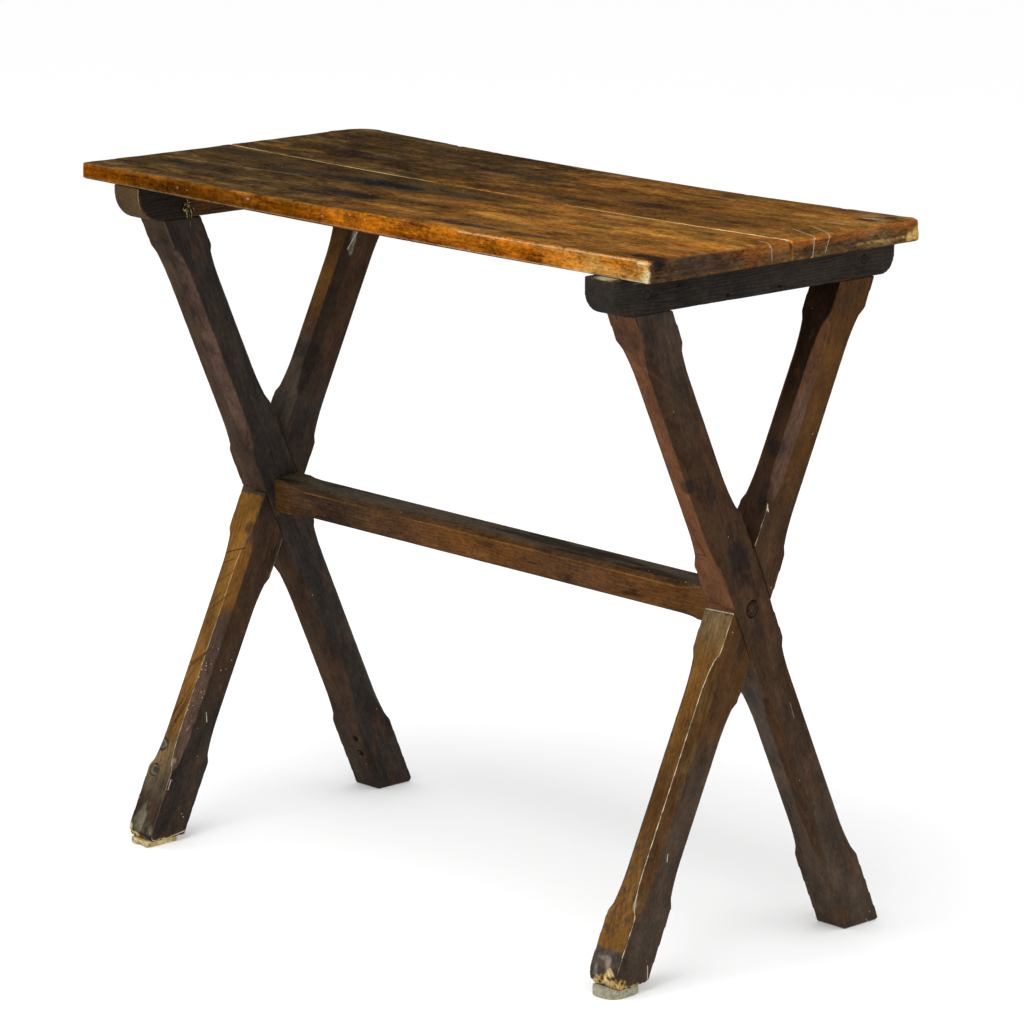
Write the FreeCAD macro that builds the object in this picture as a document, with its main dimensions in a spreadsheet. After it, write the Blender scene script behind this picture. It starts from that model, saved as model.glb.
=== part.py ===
import FreeCAD, Part
import math
import os
import Sketcher

# Sawbuck table: a top of two boards on two battens, each batten carried by a pair of
# crossed legs, and one square stretcher whose round tenons run through both crossings.
# X runs along the top, -Y is the front, +Z is up. The origin is on the floor, under the
# middle of the table's overall box. All lengths are in millimetres.

doc = FreeCAD.newDocument("SawbuckTable")

# ---------------------------------------------------------------------------------------
# Driving dimensions: one row of the sheet each, as alias, value and what it measures
# ---------------------------------------------------------------------------------------

DRIVING = (
    ("frame_spacing", 667.4, "between the centre planes of the two leg frames"),
    ("right_overhang", 54.3, "top beyond the right frame's centre plane"),
    ("left_overhang_front", 68.0, "top beyond the left frame's centre plane, front corner"),
    ("left_overhang_rear", 50.5, "the same at the rear corner, the end being out of square"),
    ("leg_height", 661.0, "floor to the underside of the battens"),
    ("leg_thickness", 36.7, "leg section across the frame, along X"),
    ("leg_depth", 46.5, "leg section in the plane of the frame"),
    ("right_rear_foot", 182.4, "Y of a leg's axis at the floor, right frame, foot behind"),
    ("right_rear_head", -153.0, "Y of that axis at the batten's underside"),
    ("right_front_foot", -163.7, "right frame, foot in front"),
    ("right_front_head", 138.0, "its head"),
    ("left_rear_foot", 182.4, "left frame, foot behind"),
    ("left_rear_head", -137.6, "its head"),
    ("left_front_foot", -156.3, "left frame, foot in front"),
    ("left_front_head", 148.3, "its head"),
    ("foot_block", 76.0, "height of the square block left at each foot"),
    ("head_block", 30.0, "height of the square block left under the batten"),
    ("lap_block", 44.0, "square block left beyond each corner of the crossing"),
    ("leg_chamfer", 9.0, "chamfer on the arrises of the legs, measured on the face"),
    ("leg_lip", 3.8, "depth at which a leg's chamfer meets the end step of its stop"),
    ("leg_lip_run", 9.0, "length of that end step"),
    ("leg_flare", 46.0, "length over which a leg's chamfer rises to its stop"),
    ("right_front_toe_rise", 25.0, "worn toe of a leg, up its face"),
    ("right_front_toe_run", 12.0, "the same along the sole"),
    ("left_front_toe_rise", 15.0, "worn toe of a leg, up its face"),
    ("left_front_toe_run", 8.0, "the same along the sole"),
    ("right_rear_toe_rise", 4.0, "worn toe of a leg, up its face"),
    ("right_rear_toe_run", 3.0, "the same along the sole"),
    ("left_rear_toe_rise", 6.0, "worn toe of a leg, up its face"),
    ("left_rear_toe_run", 5.0, "the same along the sole"),
    ("lap_clearance", 0.15, "side play of the half-lap joints"),
    ("tenon_width", 36.0, "leg tenon in the plane of the frame"),
    ("tenon_thickness", 12.0, "leg tenon across the frame"),
    ("tenon_height", 32.0, "leg tenon above its shoulder"),
    ("tenon_clearance", 0.15, "play at the cheeks and edges of the leg tenons"),
    ("mortise_end_gap", 1.0, "space left over a leg tenon in its mortise"),
    ("batten_height", 36.5, "batten section, upright"),
    ("batten_thickness", 36.8, "batten section, along X"),
    ("batten_length", 400.5, "batten from end to end"),
    ("right_batten_front", -209.0, "Y of the right batten's front end"),
    ("left_batten_front", -198.0, "Y of the left batten's front end"),
    ("right_batten_nose", 25.0, "rounding under the right batten's front end"),
    ("left_batten_nose", 31.0, "rounding under the left batten's front end"),
    ("batten_tail", 19.0, "rounding under a batten's rear end"),
    ("top_front", -199.7, "Y of the top's front edge"),
    ("top_joint", -1.5, "Y of the joint between the two boards"),
    ("top_rear", 186.3, "Y of the top's rear edge"),
    ("joint_gap", 1.6, "width of the open joint between the boards"),
    ("front_edge_left", 16.3, "board thickness at the front edge, left end"),
    ("front_edge_right", 22.5, "the same, right end"),
    ("front_edge_sag", 1.5, "hollow of the upper surface along the front edge"),
    ("joint_edge_left", 18.2, "board thickness at the joint, left end"),
    ("joint_edge_right", 20.5, "the same, right end"),
    ("joint_edge_sag", 3.2, "hollow of the upper surface along the joint"),
    ("rear_edge_left", 21.2, "board thickness at the rear edge, left end"),
    ("rear_edge_right", 22.5, "the same, right end"),
    ("rear_edge_sag", 5.8, "hollow of the upper surface along the rear edge"),
    ("front_belly", 1.5, "sag of the underside between the battens, front edge"),
    ("joint_belly", 2.5, "the same at the joint"),
    ("rear_belly", 5.0, "the same at the rear edge"),
    ("front_left_corner", 6.0, "plan radius of a corner of the top"),
    ("front_right_corner", 5.0, "plan radius of a corner of the top"),
    ("rear_left_corner", 30.0, "plan radius of a corner of the top"),
    ("rear_right_corner", 4.0, "plan radius of a corner of the top"),
    ("filler_depth", 6.0, "depth of the filling in the joint of the top"),
    ("filler_recess", 0.3, "filling below the surface of the top"),
    ("stretcher_section", 35.0, "side of the square stretcher"),
    ("stretcher_roll", 7.0, "degrees by which the stretcher is turned, rear edge up"),
    ("stretcher_drop", 4.4, "stretcher axis below the centre of the crossings"),
    ("right_stretcher_back", 0.2, "stretcher axis behind the right crossing's centre"),
    ("left_stretcher_back", 3.8, "stretcher axis behind the left crossing's centre"),
    ("stretcher_chamfer", 6.0, "chamfer on the arrises of the stretcher"),
    ("stretcher_stop", 21.0, "square end of the stretcher next to each shoulder"),
    ("stretcher_lip", 2.0, "depth at which a stretcher chamfer meets its end step"),
    ("stretcher_lip_run", 5.0, "length of that end step"),
    ("stretcher_flare", 30.0, "length over which the stretcher's chamfer rises"),
    ("shoulder_gap", 0.2, "play between a shoulder of the stretcher and its frame"),
    ("round_tenon", 18.0, "diameter of the stretcher's round tenons"),
    ("bore_clearance", 0.1, "radial play of the round tenons in the crossings"),
    ("round_tenon_recess", 0.5, "tenon end below the outer face of the frame"),
    ("peg", 9.0, "diameter of the pegs through battens and leg tenons"),
    ("peg_clearance", 0.1, "radial play of pegs, dowels, plugs and sprigs"),
    ("peg_height", 18.5, "pegs above the underside of the batten"),
    ("proud_height", 10.5, "the same for the one peg that was never cut back"),
    ("proud_back", 10.0, "that peg behind the axis of its leg"),
    ("proud_length", 9.0, "its projection from the batten"),
    ("proud_tip", 4.0, "diameter of its broken tip"),
    ("dowel", 10.0, "diameter of the blind dowels between battens and top"),
    ("dowel_in_batten", 15.0, "depth of a dowel in the batten"),
    ("dowel_in_board", 10.0, "depth of a dowel in a board"),
    ("dowel_end_gap", 0.5, "space left at each end of a dowel"),
    ("dowel_inset", 30.0, "dowel from the joint of the boards"),
    ("dowel_pitch", 68.0, "between the two dowels of one board"),
    ("sprig", 2.4, "diameter of the iron sprig in each round tenon"),
    ("sprig_length", 24.0, "length of a sprig"),
    ("sprig_sink", 1.2, "sprig head below the tenon's end"),
    ("sprig_offset", 6.0, "sprig behind the tenon's axis"),
    ("front_plug", 13.0, "diameter of the plugs in the left front foot"),
    ("front_plug_low", 71.0, "lower plug from the floor, along the leg"),
    ("front_plug_high", 99.0, "upper plug from the floor, along the leg"),
    ("front_plug_side", 8.0, "plugs left of the leg's centre plane"),
    ("rear_plug", 8.0, "diameter of the plugs in the left rear foot"),
    ("rear_plug_low", 58.0, "lower plug from the floor, along the leg"),
    ("rear_plug_high", 78.0, "upper plug from the floor, along the leg"),
    ("rear_plug_side", 9.0, "plugs right of the leg's centre plane"),
    ("plug_depth", 14.0, "depth of the plug holes"),
    ("plug_sink", 0.4, "plug face below the face of the leg"),
    ("pad_thickness", 8.4, "felt pad under the right front foot"),
    ("pad_width", 36.0, "felt pad along X"),
    ("pad_length", 45.0, "felt pad along Y"),
    ("pad_corner", 12.0, "corner radius of the felt pad"),
    ("slip_thickness", 5.0, "packing slip under the left front foot"),
    ("slip_width", 35.0, "packing slip along X"),
    ("slip_length", 44.0, "packing slip along Y"),
    ("slip_forward", 3.0, "packing slip in front of the leg's axis"),
    ("slip_corner", 9.0, "broken corner of the packing slip"),
)

# A cutter reaches this far past the face that it opens. It shows on no piece.
CUTTER_MARGIN = 2.0


def fill_sheet():
    """The driving dimensions, each in its own row with its alias."""
    sheet = doc.addObject("Spreadsheet::Sheet", "Size")
    for row, (alias, size, meaning) in enumerate(DRIVING, start=1):
        sheet.set(f"A{row}", alias)
        sheet.set(f"B{row}", str(size))
        sheet.set(f"C{row}", meaning)
        sheet.setAlias(f"B{row}", alias)
    doc.recompute()
    return sheet


sheet = fill_sheet()


def number(expression):
    """What an expression over the sheet and the layouts gives, as a plain number."""
    result = sheet.evalExpression(expression)
    return float(getattr(result, "Value", result))


def layout(name, **formulas):
    """A named set of worked-out sizes, each bound to its formula."""
    sizes = doc.addObject("App::VarSet", name)
    for size, formula in formulas.items():
        sizes.addProperty("App::PropertyFloat", size, "Layout")
        sizes.setExpression(size, formula)
        doc.recompute()
    return name


# ---------------------------------------------------------------------------------------
# Sketches and features
# ---------------------------------------------------------------------------------------

STRAIGHT = "straight"
SMOOTH_START = "arc tangent to the edge before it"
SMOOTH_END = "arc tangent to the edge after it"


def bowed(radius, side):
    """An arc of a given radius, its centre left (1) or right (-1) of the way it runs."""
    return ("bowed", radius, side)


def left_of(direction):
    """The direction turned a quarter turn anticlockwise."""
    return FreeCAD.Vector(-direction.y, direction.x, 0)


def arc_centre(start, end, edge, before, after):
    """Centre of an arc edge, and whether it runs anticlockwise from start to end."""
    chord = end - start
    if edge == SMOOTH_START:
        side = left_of(before).normalize()
        reach = chord.dot(chord) / (2 * chord.dot(side))
        return start + side * reach, reach > 0
    if edge == SMOOTH_END:
        side = left_of(after).normalize()
        reach = -chord.dot(chord) / (2 * chord.dot(side))
        return end + side * reach, reach > 0
    radius = number(edge[1])
    height = math.sqrt(radius ** 2 - (chord.Length / 2) ** 2)
    return (start + end) * 0.5 + left_of(chord).normalize() * height * edge[2], edge[2] > 0


def new_sketch(body, name, plane, offset=None, turn=None):
    """A sketch on one of the body's own planes, moved off it and turned if asked."""
    planes = {feature.Role: feature for feature in body.Origin.OriginFeatures}
    sketch = body.newObject("Sketcher::SketchObject", name)
    sketch.AttachmentSupport = (planes[plane], [""])
    sketch.MapMode = "FlatFace"
    if turn is not None:
        axis, angle = turn
        sketch.AttachmentOffset = FreeCAD.Placement(FreeCAD.Vector(), FreeCAD.Rotation(axis, angle))
    if offset is not None:
        sketch.setExpression("AttachmentOffset.Base.z", offset)
    return sketch


def bind(sketch, kind, *place, size):
    """A dimension of a sketch, bound to its expression."""
    index = sketch.addConstraint(Sketcher.Constraint(kind, *place, number(size)))
    title = f"size{index}"
    sketch.renameConstraint(index, title)
    sketch.setExpression(f"Constraints.{title}", size)


def add_outline(sketch, path):
    """One closed outline. Its corners are (x, y) or (x, y, kind of the edge that leaves)."""
    corners = [FreeCAD.Vector(number(corner[0]), number(corner[1]), 0) for corner in path]
    edges = [corner[2] if len(corner) > 2 else STRAIGHT for corner in path]
    count = len(path)
    first = sketch.GeometryCount
    ends = []
    for i, edge in enumerate(edges):
        start = corners[i]
        end = corners[(i + 1) % count]
        if edge == STRAIGHT:
            sketch.addGeometry(Part.LineSegment(start, end))
            ends.append((1, 2))
            continue
        before = start - corners[i - 1]
        after = corners[(i + 2) % count] - end
        centre, anticlockwise = arc_centre(start, end, edge, before, after)
        radius = (start - centre).Length
        circle = Part.Circle(centre, FreeCAD.Vector(0, 0, 1), radius)
        from_corner, to_corner = (start, end) if anticlockwise else (end, start)
        angles = [math.atan2(p.y - centre.y, p.x - centre.x) for p in (from_corner, to_corner)]
        sketch.addGeometry(Part.ArcOfCircle(circle, angles[0], angles[1]))
        ends.append((1, 2) if anticlockwise else (2, 1))
    for i, edge in enumerate(edges):
        following = (i + 1) % count
        smooth = edge == SMOOTH_END or edges[following] == SMOOTH_START
        kind = "Tangent" if smooth else "Coincident"
        meeting = (first + i, ends[i][1], first + following, ends[following][0])
        sketch.addConstraint(Sketcher.Constraint(kind, *meeting))
    for i, corner in enumerate(path):
        place = (-1, 1, first + i, ends[i][0])
        bind(sketch, "DistanceX", *place, size=corner[0])
        bind(sketch, "DistanceY", *place, size=corner[1])
        if isinstance(edges[i], tuple):
            bind(sketch, "Radius", first + i, size=edges[i][1])


def draw(body, name, plane, *paths, offset=None, turn=None):
    """A sketch of one or more closed outlines."""
    sketch = new_sketch(body, name, plane, offset, turn)
    for path in paths:
        add_outline(sketch, path)
    return sketch


def draw_circles(body, name, plane, centres, diameter, offset=None):
    """A sketch of equal circles."""
    sketch = new_sketch(body, name, plane, offset)
    for x, y in centres:
        centre = FreeCAD.Vector(number(x), number(y), 0)
        circle = Part.Circle(centre, FreeCAD.Vector(0, 0, 1), number(diameter) / 2)
        index = sketch.addGeometry(circle)
        bind(sketch, "DistanceX", -1, 1, index, 3, size=x)
        bind(sketch, "DistanceY", -1, 1, index, 3, size=y)
        bind(sketch, "Diameter", index, size=diameter)
    return sketch


def add_feature(kind, body, name, sketch, length, midplane, backwards):
    """A pad or a pocket of a sketch, with its length bound to the sheet."""
    feature = body.newObject(kind, name)
    feature.Profile = sketch
    feature.setExpression("Length", length)
    feature.Midplane = midplane
    feature.Reversed = backwards
    body.Tip = feature
    doc.recompute()
    return feature


def pad(body, name, sketch, length, midplane=False, backwards=False):
    """Material added from a sketch."""
    return add_feature("PartDesign::Pad", body, name, sketch, length, midplane, backwards)


def pocket(body, name, sketch, length, midplane=False, backwards=False):
    """Material cut away from a sketch. A cut that misses the solid stops the build."""
    before = body.Shape.Volume
    feature = add_feature("PartDesign::Pocket", body, name, sketch, length, midplane, backwards)
    if not body.Shape.Volume < before:
        raise RuntimeError(f"{name} cuts nothing")
    return feature


def new_body(name):
    """An empty PartDesign body that carries its own name."""
    body = doc.addObject("PartDesign::Body", name)
    body.Label = name
    return body


def place(piece, x="0", y="0", z="0", axis=None, angle=None):
    """Placement of a piece, bound to expressions."""
    if axis is not None:
        piece.Placement = FreeCAD.Placement(FreeCAD.Vector(), FreeCAD.Rotation(axis, 1))
        piece.setExpression("Placement.Rotation.Angle", angle)
    piece.setExpression("Placement.Base.x", x)
    piece.setExpression("Placement.Base.y", y)
    piece.setExpression("Placement.Base.z", z)


def cylinder(name, diameter, length, x="0", y="0", z="0", axis=None, angle=None):
    """A round pin, along Z unless it is turned."""
    pin = doc.addObject("Part::Cylinder", name)
    pin.setExpression("Radius", f"({diameter}) / 2")
    pin.setExpression("Height", length)
    place(pin, x, y, z, axis, angle)
    return pin


def group(name, pieces):
    """Identical pieces kept together as separate solids."""
    together = doc.addObject("Part::Compound", name)
    together.Label = name
    together.Links = pieces
    return together


ALONG_X = FreeCAD.Vector(1, 0, 0)
ALONG_Y = FreeCAD.Vector(0, 1, 0)


def signed(sign, expression):
    """An expression, or its negative."""
    return f"({expression})" if sign > 0 else f"-({expression})"


def stopped_chamfer(side, arris, start, end, size, across=False):
    """Outline that cuts one chamfer with a stop at each end, seen along the chamfer.

    The chamfer runs from start to end. A short step leads in from the arris, then the
    cut falls in a long curve to its full depth. Across swaps the sketch's two axes.
    """
    depth = f"Size.{size}_chamfer / sqrt(2)"
    lip = f"Size.{size}_lip"
    lip_run = f"Size.{size}_lip_run"
    flare = f"Size.{size}_flare"
    margin = f"{CUTTER_MARGIN}"
    lead = f"{margin} * {lip_run} / {lip}"
    steps = (
        (f"{arris} + {margin}", f"{start} - {lead}", STRAIGHT),
        (f"{arris} - {lip}", f"{start} + {lip_run}", SMOOTH_END),
        (f"{arris} - {depth}", f"{start} + {flare}", STRAIGHT),
        (f"{arris} - {depth}", f"{end} - {flare}", SMOOTH_START),
        (f"{arris} - {lip}", f"{end} - {lip_run}", STRAIGHT),
        (f"{arris} + {margin}", f"{end} + {lead}", STRAIGHT),
    )
    if across:
        return [(along, signed(side, out), edge) for out, along, edge in steps]
    return [(signed(side, out), along, edge) for out, along, edge in steps]


# ---------------------------------------------------------------------------------------
# Layouts worked out from the sheet
# ---------------------------------------------------------------------------------------

SIDES = ("right", "left")
FEET = ("front", "rear")

layout(
    "Top",
    half_length="(Size.frame_spacing + Size.right_overhang + Size.left_overhang_front) / 2",
    skew="Size.left_overhang_front - Size.left_overhang_rear",
    width="Size.top_rear - Size.top_front",
    seat="Size.leg_height + Size.batten_height",
)

SOLE = {
    ("right", "front"): "Size.pad_thickness",
    ("left", "front"): "Size.slip_thickness",
    ("right", "rear"): "0",
    ("left", "rear"): "0",
}

PROUD_PEG = ("left", "rear")


def peg_place(side, end):
    """Height of a peg over the batten's underside, and its place behind the leg's axis."""
    if (side, end) == PROUD_PEG:
        return "Size.proud_height", "Size.proud_back"
    return "Size.peg_height", "0"


def frame_layout(side):
    """Centre plane of a leg frame, where its two leg axes cross, and the stretcher axis."""
    foot = {end: f"Size.{side}_{end}_foot" for end in FEET}
    head = {end: f"Size.{side}_{end}_head" for end in FEET}
    plane = "Top.half_length - Size.right_overhang"
    if side == "left":
        plane = f"{plane} - Size.frame_spacing"
    apart_at_floor = f"({foot['rear']} - {foot['front']})"
    apart_at_head = f"({head['front']} - {head['rear']})"
    share = f"{apart_at_floor} / ({apart_at_floor} + {apart_at_head})"
    name = f"{side.capitalize()}Frame"
    return layout(
        name,
        x=plane,
        crossing_z=f"Size.leg_height * {share}",
        crossing_y=f"{foot['rear']} + ({head['rear']} - {foot['rear']}) * {share}",
        stretcher_y=f"{name}.crossing_y + Size.{side}_stretcher_back",
        stretcher_z=f"{name}.crossing_z - Size.stretcher_drop",
    )


def leg_layout(side, end):
    """Sizes of one leg, measured in its own frame: Z runs up its axis from the floor."""
    foot = f"Size.{side}_{end}_foot"
    head = f"Size.{side}_{end}_head"
    other = "rear" if end == "front" else "front"
    other_slope = f"(Size.{side}_{other}_head - Size.{side}_{other}_foot) / Size.leg_height"
    peg_height, peg_back = peg_place(side, end)
    name = f"{side.capitalize()}{end.capitalize()}Leg"
    frame = f"{side.capitalize()}Frame"
    return layout(
        name,
        slope=f"({head} - {foot}) / Size.leg_height",
        lean=f"atan({name}.slope) / 1 deg",
        cosine=f"cos({name}.lean * 1 deg)",
        half="Size.leg_depth / 2",
        rise=f"{name}.half * {name}.slope",
        sole=f"({SOLE[side, end]}) / {name}.cosine",
        shoulder=f"Size.leg_height / {name}.cosine",
        crossing=f"{frame}.crossing_z / {name}.cosine",
        turn=f"atan({other_slope}) / 1 deg - {name}.lean",
        lap_reach=f"{name}.half / abs(sin({name}.turn * 1 deg))",
        lap_skew=f"{name}.half / tan({name}.turn * 1 deg)",
        head_stop=f"{name}.shoulder - Size.head_block / {name}.cosine",
        foot_stop=f"Size.foot_block / {name}.cosine",
        peg_across=f"{peg_back} * {name}.cosine",
        peg_along=f"(Size.leg_height + {peg_height}) / {name}.cosine + {name}.slope * {name}.peg_across",
    )


FRAMES = {side: frame_layout(side) for side in SIDES}
LEGS = {(side, end): leg_layout(side, end) for side in SIDES for end in FEET}

layout(
    "Stretcher",
    run="RightFrame.x - LeftFrame.x",
    slew="(RightFrame.stretcher_y - LeftFrame.stretcher_y) / Stretcher.run",
    fall="(LeftFrame.stretcher_z - RightFrame.stretcher_z) / Stretcher.run",
    yaw="atan(Stretcher.slew) / 1 deg",
    stretch="sqrt(1 + Stretcher.slew ^ 2 + Stretcher.fall ^ 2)",
    pitch="asin(Stretcher.fall / Stretcher.stretch) / 1 deg",
    half="Size.stretcher_section / 2",
    shoulder="(Stretcher.run - Size.leg_thickness) * Stretcher.stretch / 2 - Size.shoulder_gap",
    tenon_span="(Stretcher.run + Size.leg_thickness) * Stretcher.stretch - 2 * Size.round_tenon_recess",
)


STRETCHER_MIDDLE = (
    "create(<<vector>>; (RightFrame.x + LeftFrame.x) / 2;"
    " (RightFrame.stretcher_y + LeftFrame.stretcher_y) / 2;"
    " (RightFrame.stretcher_z + LeftFrame.stretcher_z) / 2)"
)
STRETCHER_TURN = "create(<<rotation>>; Stretcher.yaw; Stretcher.pitch; Size.stretcher_roll)"
STRETCHER_AXIS = f"create(<<placement>>; {STRETCHER_MIDDLE}; {STRETCHER_TURN})"


def stretcher_pin(name, diameter, length, x, y="0"):
    """A round pin along the stretcher's axis: x from its middle, y behind the axis."""
    pin = doc.addObject("Part::Cylinder", name)
    pin.setExpression("Radius", f"({diameter}) / 2")
    pin.setExpression("Height", length)
    lay_down = "create(<<rotation>>; create(<<vector>>; 0; 1; 0); 90)"
    along = f"create(<<placement>>; create(<<vector>>; {x}; {y}; 0); {lay_down})"
    pin.setExpression("Placement", f"{STRETCHER_AXIS} * {along}")
    return pin


def place_as_leg(piece, side, end):
    """Puts a piece that is drawn in a leg's own frame where that leg stands."""
    leg = LEGS[side, end]
    foot = f"Size.{side}_{end}_foot"
    place(piece, f"{FRAMES[side]}.x", foot, "0", ALONG_X, f"-{leg}.lean * 1 deg")


# ---------------------------------------------------------------------------------------
# Legs
# ---------------------------------------------------------------------------------------

DIAGONALS = (45, -45)


def leg_outline(side, end):
    """Side view of a leg: level sole and shoulder, and a worn toe at the sharp corner."""
    leg = LEGS[side, end]
    toe = 1 if end == "rear" else -1
    rise = f"Size.{side}_{end}_toe_rise"
    run = f"Size.{side}_{end}_toe_run"
    toe_in = signed(toe, f"{leg}.half - {run} * {leg}.cosine")
    return [
        (signed(-toe, f"{leg}.half"), f"{leg}.sole - {toe} * {leg}.rise"),
        (signed(-toe, f"{leg}.half"), f"{leg}.shoulder - {toe} * {leg}.rise"),
        (signed(toe, f"{leg}.half"), f"{leg}.shoulder + {toe} * {leg}.rise"),
        (signed(toe, f"{leg}.half"), f"{leg}.sole + {toe} * {leg}.rise + {rise}", SMOOTH_START),
        (toe_in, f"{leg}.sole + {toe_in} * {leg}.slope"),
    ]


def leg_tenon_outline(leg):
    """Side view of the tenon, which follows the lean of the leg."""
    half = "Size.tenon_width / 2"
    top = f"(Size.leg_height + Size.tenon_height) / {leg}.cosine"
    return [
        (f"-{half}", f"{leg}.shoulder - {half} * {leg}.slope"),
        (half, f"{leg}.shoulder + {half} * {leg}.slope"),
        (half, f"{top} + {half} * {leg}.slope"),
        (f"-{half}", f"{top} - {half} * {leg}.slope"),
    ]


def lap_outline(leg):
    """The band of the other leg across this one, with the lap's side play."""
    outside = f"({leg}.half + {CUTTER_MARGIN})"
    skew = f"{outside} / tan({leg}.turn * 1 deg)"
    reach = f"({leg}.half + Size.lap_clearance) / abs(sin({leg}.turn * 1 deg))"
    return [
        (f"-{outside}", f"{leg}.crossing - {reach} - {skew}"),
        (outside, f"{leg}.crossing - {reach} + {skew}"),
        (outside, f"{leg}.crossing + {reach} + {skew}"),
        (f"-{outside}", f"{leg}.crossing + {reach} - {skew}"),
    ]


def leg_chamfers(leg, face):
    """Start and end of the two chamfers on an arris of the front (-1) or rear (1) face."""
    along_lap = f"{face} * {leg}.lap_skew"
    along_end = f"{face} * {leg}.rise"
    upper_start = f"({leg}.crossing + {leg}.lap_reach + {along_lap} + Size.lap_block)"
    upper_end = f"({leg}.head_stop + {along_end})"
    lower_start = f"({leg}.foot_stop + {along_end})"
    lower_end = f"({leg}.crossing - {leg}.lap_reach + {along_lap} - Size.lap_block)"
    return ((upper_start, upper_end), (lower_start, lower_end))


def make_leg(side, end):
    """A leg with its tenon, half-lap, stopped chamfers and peg hole, before boring."""
    leg = LEGS[side, end]
    name = f"{side}_{end}_leg"
    body = new_body(f"{name}_blank")
    blank = draw(body, f"{name}_side", "YZ_Plane", leg_outline(side, end))
    pad(body, f"{name}_shaft", blank, "Size.leg_thickness", midplane=True)
    tenon = draw(body, f"{name}_tenon_side", "YZ_Plane", leg_tenon_outline(leg))
    pad(body, f"{name}_tenon", tenon, "Size.tenon_thickness", midplane=True)
    lap = draw(body, f"{name}_lap_side", "YZ_Plane", lap_outline(leg))
    lap_depth = f"Size.leg_thickness / 2 + {CUTTER_MARGIN}"
    pocket(body, f"{name}_lap", lap, lap_depth, backwards=end == "front")
    arris = "(Size.leg_thickness + Size.leg_depth) / 2 / sqrt(2)"
    for angle in DIAGONALS:
        outlines = []
        for sign in (1, -1):
            face = sign if angle > 0 else -sign
            for start, stop in leg_chamfers(leg, face):
                outlines.append(stopped_chamfer(sign, arris, start, stop, "leg"))
        label = f"{name}_arrises_{'a' if angle > 0 else 'b'}"
        sketch = draw(body, label, "XZ_Plane", *outlines, turn=(ALONG_Y, angle))
        pocket(body, f"{label}_cut", sketch, "4 * Size.leg_depth", midplane=True)
    centre = (f"{leg}.peg_across", f"{leg}.peg_along")
    peg = draw_circles(body, f"{name}_peg_centre", "YZ_Plane", [centre], "Size.peg")
    pocket(body, f"{name}_peg_hole", peg, "2 * Size.leg_thickness", midplane=True)
    return body


def plug_spots(end):
    """Plug centres on the front face of a left foot, across the leg and up it."""
    across = "-Size.front_plug_side" if end == "front" else "Size.rear_plug_side"
    return [(across, f"Size.{end}_plug_low"), (across, f"Size.{end}_plug_high")]


def bore_plug_holes(body, end):
    """Blind holes for the plugs, square to the leg's front face."""
    leg = LEGS["left", end]
    title = f"left_{end}_foot"
    circles = draw_circles(
        body, f"{title}_plug_centres", "XZ_Plane", plug_spots(end), f"Size.{end}_plug", f"{leg}.half"
    )
    pocket(body, f"{title}_plug_holes", circles, "Size.plug_depth")


def make_plugs(end):
    """The two plugs of a left foot, just below the face."""
    leg = LEGS["left", end]
    title = f"left_{end}_foot_plugs"
    length = "Size.plug_depth - Size.plug_sink"
    pins = []
    for number_up, (across, along) in enumerate(plug_spots(end), start=1):
        pin = cylinder(
            f"{title}_{number_up}",
            f"Size.{end}_plug - 2 * Size.peg_clearance",
            length,
            across,
            f"Size.plug_sink - {leg}.half",
            along,
            ALONG_X,
            "-90 deg",
        )
        pins.append(pin)
    plugs = group(title, pins)
    place_as_leg(plugs, "left", end)
    return plugs


def bore_leg(body, side, end, bore):
    """The finished leg: the blank with the stretcher's bore through its lap."""
    place_as_leg(body, side, end)
    leg = doc.addObject("Part::Cut", f"{side}_{end}_leg")
    leg.Label = f"{side}_{end}_leg"
    leg.Base = body
    leg.Tool = bore
    return leg


# ---------------------------------------------------------------------------------------
# Battens
# ---------------------------------------------------------------------------------------


def dowel_spots():
    """Y of the four dowels of a batten, two into each board."""
    near = "Size.dowel_inset"
    far = "(Size.dowel_inset + Size.dowel_pitch)"
    return [f"Size.top_joint {sign} {reach}" for sign in "-+" for reach in (near, far)]


def peg_spot(side, end):
    """Y of a peg, and its height over the batten's underside."""
    height, back = peg_place(side, end)
    return (f"Size.{side}_{end}_head + {LEGS[side, end]}.slope * {height} + {back}", height)


def mortise_outline(side, end):
    """Side view of the mortise that takes a leg's leaning tenon."""
    leg = LEGS[side, end]
    head = f"Size.{side}_{end}_head"
    half = f"(Size.tenon_width / 2 + Size.tenon_clearance) / {leg}.cosine"
    height = "(Size.tenon_height + Size.mortise_end_gap)"
    return [
        (f"{head} - {half}", "0"),
        (f"{head} + {half}", "0"),
        (f"{head} + {half} + {leg}.slope * {height}", height),
        (f"{head} - {half} + {leg}.slope * {height}", height),
    ]


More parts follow.
